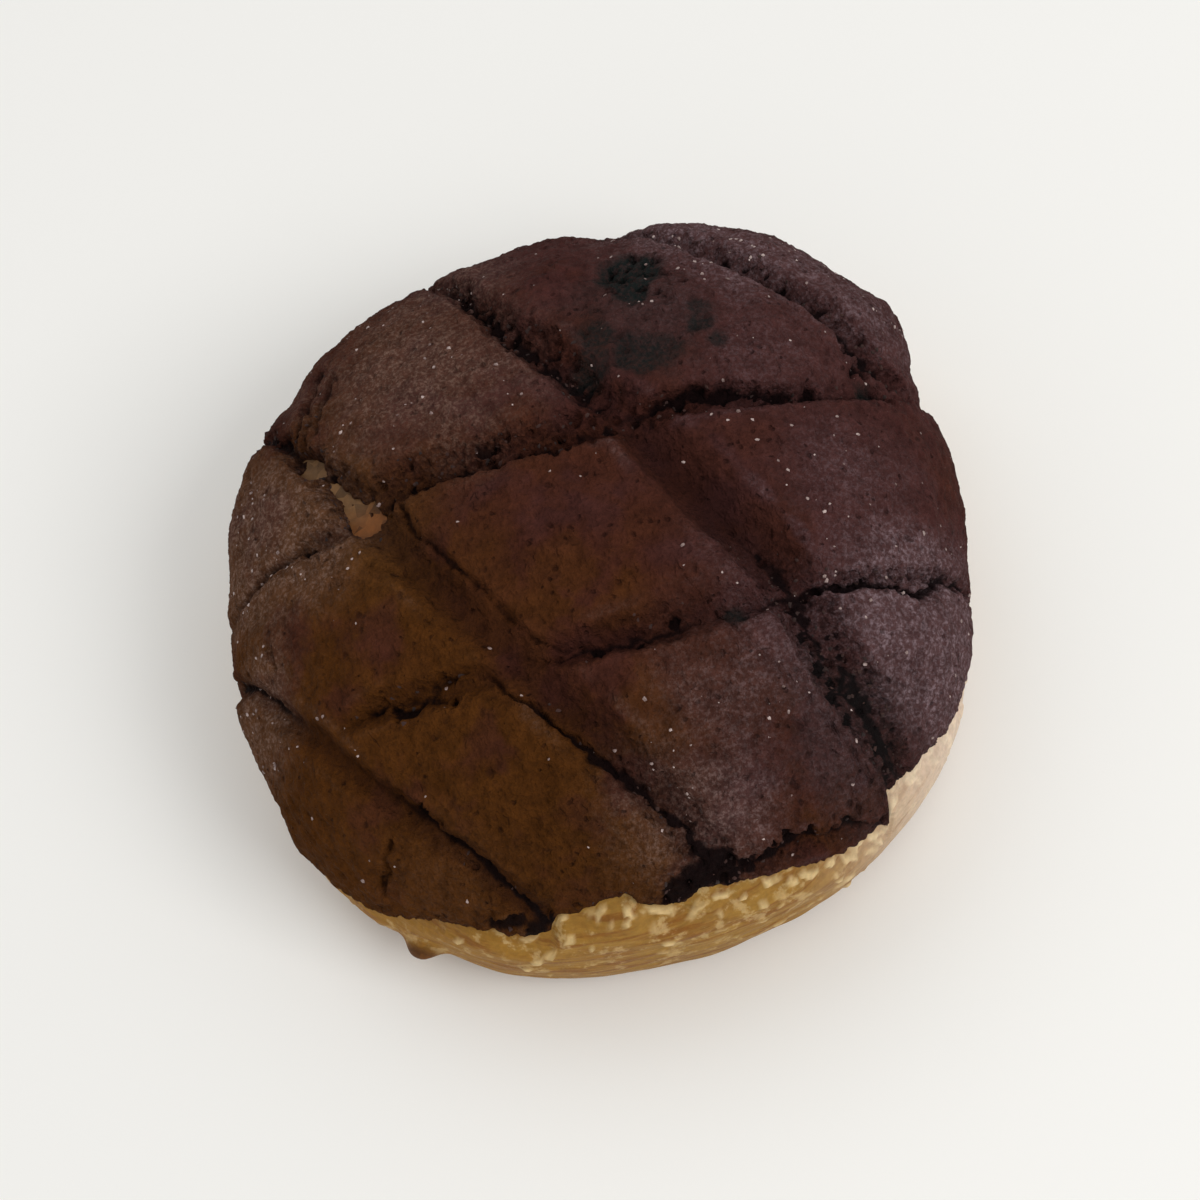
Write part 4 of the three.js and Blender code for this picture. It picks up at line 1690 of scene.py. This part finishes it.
@dataclass(frozen=True)
class CocoaFinish:
    """Dark baked cookie dough: matte, finely pored, with scorched spots and a grey bloom on the
    shoulders that also paints a sheen, painted highlights on the groove rims, and painted shade
    in the grooves, cracks, pores and creases.
    """

    name: str = "cocoa_cookie"
    olive_brown: Colour = rgb(81, 46, 16)
    red_brown: Colour = rgb(72, 38, 27)
    plum_brown: Colour = rgb(71, 40, 37)
    # Greys of the bloom and of its painted sheen.
    dust_sheen_grey: Colour = rgb(140, 119, 124)
    dust_sheen_warm: Colour = rgb(138, 110, 96)
    # The dark of the painted shade in pores, creases and grooves, also used for speckles on torn
    # dough.
    deep: Colour = rgb(33, 14, 12)
    # The very dark of the painted shade in the cracks.
    crevice_shade_black: Colour = rgb(14, 7, 8)
    scorched: Colour = rgb(27, 32, 31)
    amber: Colour = rgb(92, 58, 26)
    roughness: float = 0.86
    specular: float = 0.04
    bump_depth: float = 1.15
    # How strongly the bloom and its painted sheen show.
    dust_and_sheen_strength: float = 0.65
    # How strongly the painted shade darkens the groove valleys.
    groove_shade_strength: float = 0.75
    # How strongly the pores and creases are darkened as painted shade.
    pore_shade_strength: float = 0.5
    crease_strength: float = 0.5
    front_shade: float = 0.16

    def baked(self, skin: Skin, cool: Source) -> Source:
        """The dough's own brown: olive at the left front, plum at the right and the back.

        Args:
            skin: The material in the making.
            cool: Where the grey bloom and its painted sheen are grey and not brown.

        Returns:
            The colour.
        """
        g = skin.graph
        x, y, _ = g.axes(skin.place)
        drift = g.plus(g.times(x, 9.0), g.times(y, 7.0))
        drift = g.plus(drift, g.times(g.minus(g.noise(skin.place, 45.0), 0.5), 1.1))
        # The bloom and its painted sheen also push the brown towards plum.
        drift = g.plus(drift, g.times(g.times(cool, skin.mark(Mark.DUST)), 1.2))
        drift = g.plus(drift, g.ease(g.noise(skin.place, 95.0, 3.0, 0.6), 0.46, 0.64, (0.0, 0.3)))
        colour = g.mix(g.ease(drift, -0.45, 0.1), self.olive_brown, self.red_brown)
        colour = g.mix(g.ease(drift, 0.0, 0.6), colour, self.plum_brown)
        return g.mix(g.times(skin.mark(Mark.AMBER), 0.75), colour, self.amber)

    def mottle(self, skin: Skin, fine: Source, broad: Source, blotch: Source) -> Source:
        """How much lighter or darker the dough is from place to place.

        Args:
            skin: The material in the making.
            fine: The fine grain.
            broad: The broad grain.
            blotch: The blotches between the two in size.

        Returns:
            A factor for the colour.
        """
        g = skin.graph
        x, y, _ = g.axes(skin.place)
        tone = g.plus(g.ease(blotch, 0.3, 0.7, (0.84, 1.16)), g.ease(fine, 0.3, 0.7, (-0.14, 0.14)))
        tone = g.plus(tone, g.ease(broad, 0.3, 0.72, (-0.1, 0.1)))
        front = g.times(g.ease(y, -0.02, -0.05), g.ease(x, -0.04, -0.02))
        return g.minus(tone, g.times(front, self.front_shade))

    def dust(self, skin: Skin, blotch: Source) -> Source:
        """How strongly the grey bloom and its painted sheen cover the dough.

        Args:
            skin: The material in the making.
            blotch: The blotches that it lies in.

        Returns:
            The cover, from 0 to 1.
        """
        g = skin.graph
        speck = g.ease(g.noise(skin.place, 1500.0, 5.0, 0.7), 0.44, 0.66, (0.25, 1.2))
        powder = g.times(speck, g.ease(blotch, 0.3, 0.65, (0.55, 1.15)))
        return g.times(powder, g.ease(skin.mark(Mark.DUST), 0.0, 1.0, (0.0, self.dust_and_sheen_strength)))

    def build(self, groups: SharedGroups) -> bpy.types.Material:
        """Build the material.

        Args:
            groups: The groups that the finishes share.

        Returns:
            The crust's material.
        """
        skin = Skin(self.name, self.roughness, groups)
        g = skin.graph
        fine, broad = skin.crumb(1400.0)
        blotch = g.noise(skin.place, 420.0, 3.0, 0.6)
        upright = skin.squeezed((1.0, 0.5, 1.0))
        creases = g.most(skin.creases(upright, 420.0, 0.035), skin.creases(upright, 900.0, 0.14))
        pores = g.most(skin.pores(760.0, 0.17, 0.32), skin.pores(330.0, 0.07, 0.2))
        pores = g.most(pores, g.times(creases, self.crease_strength))

        cool = g.ease(g.axes(skin.place)[0], -0.01, 0.03)
        colour = g.tint(self.baked(skin, cool), self.mottle(skin, fine, broad, blotch))
        # Grey bloom, which also paints a sheen.
        colour = g.mix(self.dust(skin, blotch), colour, g.mix(cool, self.dust_sheen_warm, self.dust_sheen_grey))
        # Painted shade: the pores and creases are darkened, as if shade fell into them.
        colour = g.mix(g.times(pores, self.pore_shade_strength), colour, self.deep)
        # Painted shade: the groove valleys are darkened by their depth.
        colour = g.mix(g.times(skin.mark(Mark.SCORE), self.groove_shade_strength), colour, self.deep)
        rough = g.times(skin.mark(Mark.TORN), g.ease(fine, 0.35, 0.65, (0.6, 0.0)))
        colour = g.mix(rough, colour, self.deep)
        # Painted shade: the cracks are painted very dark.
        colour = g.mix(g.ease(skin.mark(Mark.CREVICE), 0.3, 1.0, (0.0, 0.92)), colour, self.crevice_shade_black)
        patchy = g.ease(fine, 0.3, 0.7, (1.1, 0.65))
        burnt = g.math("MULTIPLY", skin.mark(Mark.CHAR), patchy, clamp=True)
        colour = g.mix(burnt, colour, self.scorched)
        span = (self.roughness - 0.1, self.roughness + 0.08)
        skin.finish(colour, g.ease(fine, 0.3, 0.7, span))

        height = g.plus(g.times(fine, 0.9), g.times(blotch, 0.8))
        height = g.plus(height, g.noise(upright, 620.0, 3.0, 0.6))
        skin.bump(g.minus(height, g.times(pores, 0.7)), self.bump_depth, 1.0)
        skin.inputs["Specular IOR Level"].default_value = self.specular
        return skin.material


@dataclass(frozen=True)
class BreadFinish:
    """The bare side of the bun: golden, streaked round the bun, with pale floury blisters."""

    name: str = "milk_bread"
    golden: Colour = rgb(152, 113, 46)
    tan: Colour = rgb(138, 98, 38)
    amber: Colour = rgb(122, 72, 18)
    honey: Colour = rgb(150, 104, 26)
    pale: Colour = rgb(212, 184, 132)
    pale_right: Colour = rgb(226, 208, 186)
    blush: Colour = rgb(216, 194, 174)
    nub: Colour = rgb(98, 56, 8)
    split_light: Colour = rgb(116, 84, 52)
    split_dark: Colour = rgb(112, 66, 28)
    base: Colour = rgb(132, 86, 42)
    roughness: float = 0.6
    floury_roughness: float = 0.85
    specular: float = 0.2
    bump_depth: float = 0.4
    bump_strength: float = 0.6
    scatter_weight: float = 0.12
    scatter_radius: tuple[float, float, float] = (0.004, 0.002, 0.001)

    def golden_side(self, skin: Skin, round_bun: Source, streaks: Source) -> Source:
        """The bare side before its blisters: honey at the left, a pale blush at the right.

        Args:
            skin: The material in the making.
            round_bun: The place, squeezed so that patterns run round the bun.
            streaks: The streaks that run round it.

        Returns:
            The colour.
        """
        g = skin.graph
        x = g.axes(skin.place)[0]
        colour = g.mix(g.ease(streaks, 0.35, 0.7), self.golden, self.tan)
        left = g.minus(g.times(x, -14.0), 0.05)
        colour = g.mix(g.times(g.ease(left, 0.0, 0.6), 0.75), colour, self.honey)
        colour = g.mix(g.ease(x, 0.012, 0.045, (0.0, 0.85)), colour, self.blush)
        baked = g.ease(g.noise(round_bun, 330.0, 3.0, 0.6), 0.5, 0.66, (0.0, 0.75))
        return g.mix(g.times(baked, g.ease(x, 0.045, 0.015)), colour, self.amber)

    def painted_facet_shade(self, skin: Skin) -> Source:
        """Painted light and shade: light and dark flats, as on dough that was pulled apart.

        Args:
            skin: The material in the making.

        Returns:
            A factor for the colour.
        """
        g = skin.graph
        cells = g.cells(skin.place, 430.0).outputs["Color"]
        pick = g.add("ShaderNodeSeparateColor", {0: cells}).outputs[0]
        return g.ease(pick, 0.0, 1.0, (0.4, 1.25))

    def build(self, groups: SharedGroups) -> bpy.types.Material:
        """Build the material.

        Args:
            groups: The groups that the finishes share.

        Returns:
            The bread's material.
        """
        skin = Skin(self.name, self.roughness, groups)
        g = skin.graph
        nub, split = skin.mark(Mark.AMBER), skin.mark(Mark.TORN)
        fine = skin.crumb(1100.0)[0]
        round_bun = skin.squeezed((0.28, 0.28, 2.4))
        streaks = g.noise(round_bun, 520.0, 4.0, 0.6)
        x, _, z = g.axes(skin.place)
        pores = skin.pores(330.0, 0.2, 0.2)

        patches = g.ease(g.noise(skin.place, 330.0, 4.0, 0.65), 0.53, 0.66)
        floury = g.most(g.times(skin.mark(Mark.PALE), 0.95), g.times(patches, 0.42))
        flour = g.mix(g.ease(x, 0.012, 0.045, (0.0, 0.85)), self.pale, self.pale_right)
        colour = g.mix(floury, self.golden_side(skin, round_bun, streaks), flour)
        open_dough = g.mix(nub, self.split_light, self.split_dark)
        colour = g.mix(split, g.mix(g.ease(nub, 0.0, 0.7), colour, self.nub), open_dough)
        colour = g.mix(g.ease(z, 0.0045, 0.0, (0.0, 0.8)), colour, self.base)
        colour = g.tint(colour, g.ease(fine, 0.3, 0.72, (0.88, 1.1)))
        # Painted shade: the pores are darkened towards the base's brown.
        colour = g.mix(g.times(pores, 0.5), colour, self.base)
        # Painted light and shade of the flats, over the nub and the split.
        facet_shade_mask = g.times(g.most(nub, split), 0.8)
        colour = g.mix(facet_shade_mask, colour, g.tint(colour, self.painted_facet_shade(skin)))
        skin.finish(colour, g.ease(floury, 0.0, 1.0, (self.roughness, self.floury_roughness)))

        height = g.plus(g.times(streaks, 0.7), g.times(fine, 0.35))
        skin.bump(g.minus(height, g.times(pores, 0.6)), self.bump_depth, self.bump_strength)
        skin.inputs["Specular IOR Level"].default_value = self.specular
        skin.inputs["Subsurface Weight"].default_value = self.scatter_weight
        skin.inputs["Subsurface Radius"].default_value = self.scatter_radius
        return skin.material


@dataclass(frozen=True)
class GrainFinish:
    """A plain finish for sugar grains and cocoa crumbs, with a change of tone from grain to grain."""

    name: str
    light: Colour
    dark: Colour
    roughness: float
    scale: float = 500.0

    def build(self, groups: SharedGroups) -> bpy.types.Material:
        """Build the material.

        Args:
            groups: The groups that the finishes share.

        Returns:
            The grains' material.
        """
        skin = Skin(self.name, self.roughness, groups)
        fine = skin.crumb(self.scale)[0]
        tone = skin.graph.ease(fine, 0.35, 0.65)
        skin.graph.feed(skin.inputs["Base Color"], skin.graph.mix(tone, self.dark, self.light))
        return skin.material


# ---------------------------------------------------------------- stage


@dataclass(frozen=True)
class Softbox:
    """A soft square light: where it stands in degrees, its watts, and its side in metres."""

    name: str
    bearing: float
    elevation: float
    power: float
    side: float
    distance: float = 1.3

    def build(self) -> None:
        """Hang the light so that it faces the bun."""
        data = bpy.data.lights.new(self.name, "AREA")
        data.energy, data.size = self.power, self.side
        tilt, turn = math.radians(self.elevation), math.radians(self.bearing)
        level = math.cos(tilt)
        place = Vector((level * math.cos(turn), level * math.sin(turn), math.sin(tilt)))
        light = link(self.name, data)
        light.location = place * self.distance
        light.rotation_euler = place.to_track_quat("Z", "Y").to_euler()


@dataclass(frozen=True)
class Studio:
    """The pale floor, the soft lights and the camera."""

    envelope: Envelope
    elevation: float = 60.0
    roll: float = -18.0
    distance: float = 417.7
    sensor: float = 36.0
    lens_to_sensor: float = 2.2746
    shift: tuple[float, float] = (0.0038, -0.0144)
    clip: tuple[float, float] = (0.02, 20.0)
    floor_half: float = 4.0
    floor_colour: Colour = rgb(247, 246, 242)
    floor_roughness: float = 0.95
    floor_specular: float = 0.1
    sky_colour: Colour = rgb(250, 250, 250)
    sky_strength: float = 0.68
    lights: tuple[Softbox, ...] = (
        Softbox("window", -46.0, 43.0, 6.6, 0.62), Softbox("lamp", 112.0, 58.0, 1.6, 0.8),
    )

    def camera(self) -> None:
        """Place the camera at the viewing angle."""
        data = bpy.data.cameras.new("camera")
        data.sensor_width, data.lens = self.sensor, self.sensor * self.lens_to_sensor
        data.clip_start, data.clip_end = self.clip
        data.shift_x, data.shift_y = self.shift
        tilt = math.radians(self.elevation)
        back = Vector((0.0, -math.cos(tilt), math.sin(tilt)))
        up = Vector((0.0, math.sin(tilt), math.cos(tilt)))
        up = Matrix.Rotation(math.radians(self.roll), 3, back) @ up
        pose = Matrix((up.cross(back), up, back)).transposed().to_4x4()
        middle = Vector((0, 0, self.envelope.equator * MM))
        pose.translation = middle + back * self.distance * MM
        camera = link("camera", data)
        camera.matrix_world = pose
        bpy.context.scene.camera = camera

    def floor(self) -> None:
        """Lay the floor."""
        half = self.floor_half
        corners = [(-half, -half, 0), (half, -half, 0), (half, half, 0), (-half, half, 0)]
        mesh = bpy.data.meshes.new("floor")
        mesh.from_pydata(corners, [], [(0, 1, 2, 3)])
        material = bpy.data.materials.new("floor")
        material.use_nodes = True
        shader = material.node_tree.nodes["Principled BSDF"]
        shader.inputs["Base Color"].default_value = self.floor_colour
        shader.inputs["Roughness"].default_value = self.floor_roughness
        shader.inputs["Specular IOR Level"].default_value = self.floor_specular
        mesh.materials.append(material)
        floor = link("floor", mesh)

    def sky(self) -> None:
        """Give the scene an even pale sky."""
        world = bpy.data.worlds.new("soft_sky")
        world.use_nodes = True
        sky = world.node_tree.nodes["Background"]
        sky.inputs["Color"].default_value = self.sky_colour
        sky.inputs["Strength"].default_value = self.sky_strength
        bpy.context.scene.world = world

    def build(self) -> None:
        """Set up the whole stage."""
        self.camera()
        self.floor()
        self.sky()
        for light in self.lights:
            light.build()
        bpy.context.scene.view_settings.view_transform = "Standard"


# ---------------------------------------------------------------- assembly


@dataclass
class MelonPan:
    """The whole bun, from its parts to their finishes."""

    envelope: Envelope
    lowest_grain: float = 14.0
    sugar: Scatter = Scatter("sugar_grains", 0.2, 0.18, 0.75, 0.08, int(Seed.SUGAR), 0.55)
    crumbs: Scatter = Scatter("cocoa_crumbs", 0.4, 0.25, 1.0, 0.12, int(Seed.LOOSE_CRUMB), 0.6)
    sugar_finish: GrainFinish = GrainFinish("sugar", rgb(184, 164, 158), rgb(104, 80, 74), 0.5)
    crumb_finish: GrainFinish = GrainFinish("cocoa_crumb", rgb(60, 34, 27), rgb(28, 13, 10), 0.9)

    def keep(self, piece: bpy.types.Object, node: Optional[str] = None) -> None:
        """Hand a finished piece over to the frame.

        Args:
            piece: The object.
            node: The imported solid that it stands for, if there is one.
        """
        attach(piece, "root")
        if node:
            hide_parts(node)
        LOG.info("%s rides on root with %d faces", piece.name, len(piece.data.polygons))

    def sugar_places(self, crust: bpy.types.Object) -> np.ndarray:
        """Spread the sugar over the shoulders with the grey bloom and painted sheen, in loose clumps.

        Args:
            crust: The finished crust.

        Returns:
            How likely a sugar grain is at each of its vertices.
        """
        places, normals = vertex_places(crust)
        clump = smoothstep(-0.3, 0.5, Noise(Seed.SUGAR_CLUMP).at(places, 7.0, 2))
        torn, dust = vertex_values(crust, Mark.TORN), vertex_values(crust, Mark.DUST)
        outside = (normals[:, 2] > 0.12) & (places[:, 2] > self.lowest_grain)
        return outside * (0.1 + 0.9 * dust) * clump * (1 - 0.7 * torn)

    def crumb_places(self, crust: bpy.types.Object) -> np.ndarray:
        """Spread the loose crumbs over the torn dough.

        Args:
            crust: The finished crust.

        Returns:
            How likely a crumb is at each of its vertices.
        """
        places, normals = vertex_places(crust)
        outside = (normals[:, 2] > 0.05) & (places[:, 2] > self.lowest_grain)
        return outside * np.clip(vertex_values(crust, Mark.TORN) - 0.25, 0, 1)

    def build(self) -> None:
        """Make every piece and dress it."""
        groups = SharedGroups()
        crust_shape = CookieCrust(self.envelope)
        bread = Bread(self.envelope, crust_shape).build(BreadFinish().build(groups))
        self.keep(bread, "bread")
        crust = crust_shape.build(CocoaFinish().build(groups))
        sugar_finish, crumb_finish = self.sugar_finish.build(groups), self.crumb_finish.build(groups)
        sugar = self.sugar.build(crust, self.sugar_places(crust), sugar_finish)
        crumbs = self.crumbs.build(crust, self.crumb_places(crust), crumb_finish)
        self.keep(crust, "cookie_crust")
        self.keep(sugar)
        self.keep(crumbs)


def main() -> None:
    """Build the stage and the bun."""
    logging.basicConfig(level=logging.INFO, format="%(name)s: %(message)s")
    envelope = Envelope.from_frame()
    Studio(envelope).build()
    LOG.info("stage ready")
    MelonPan(envelope).build()


if __name__ == "__main__":
    main()
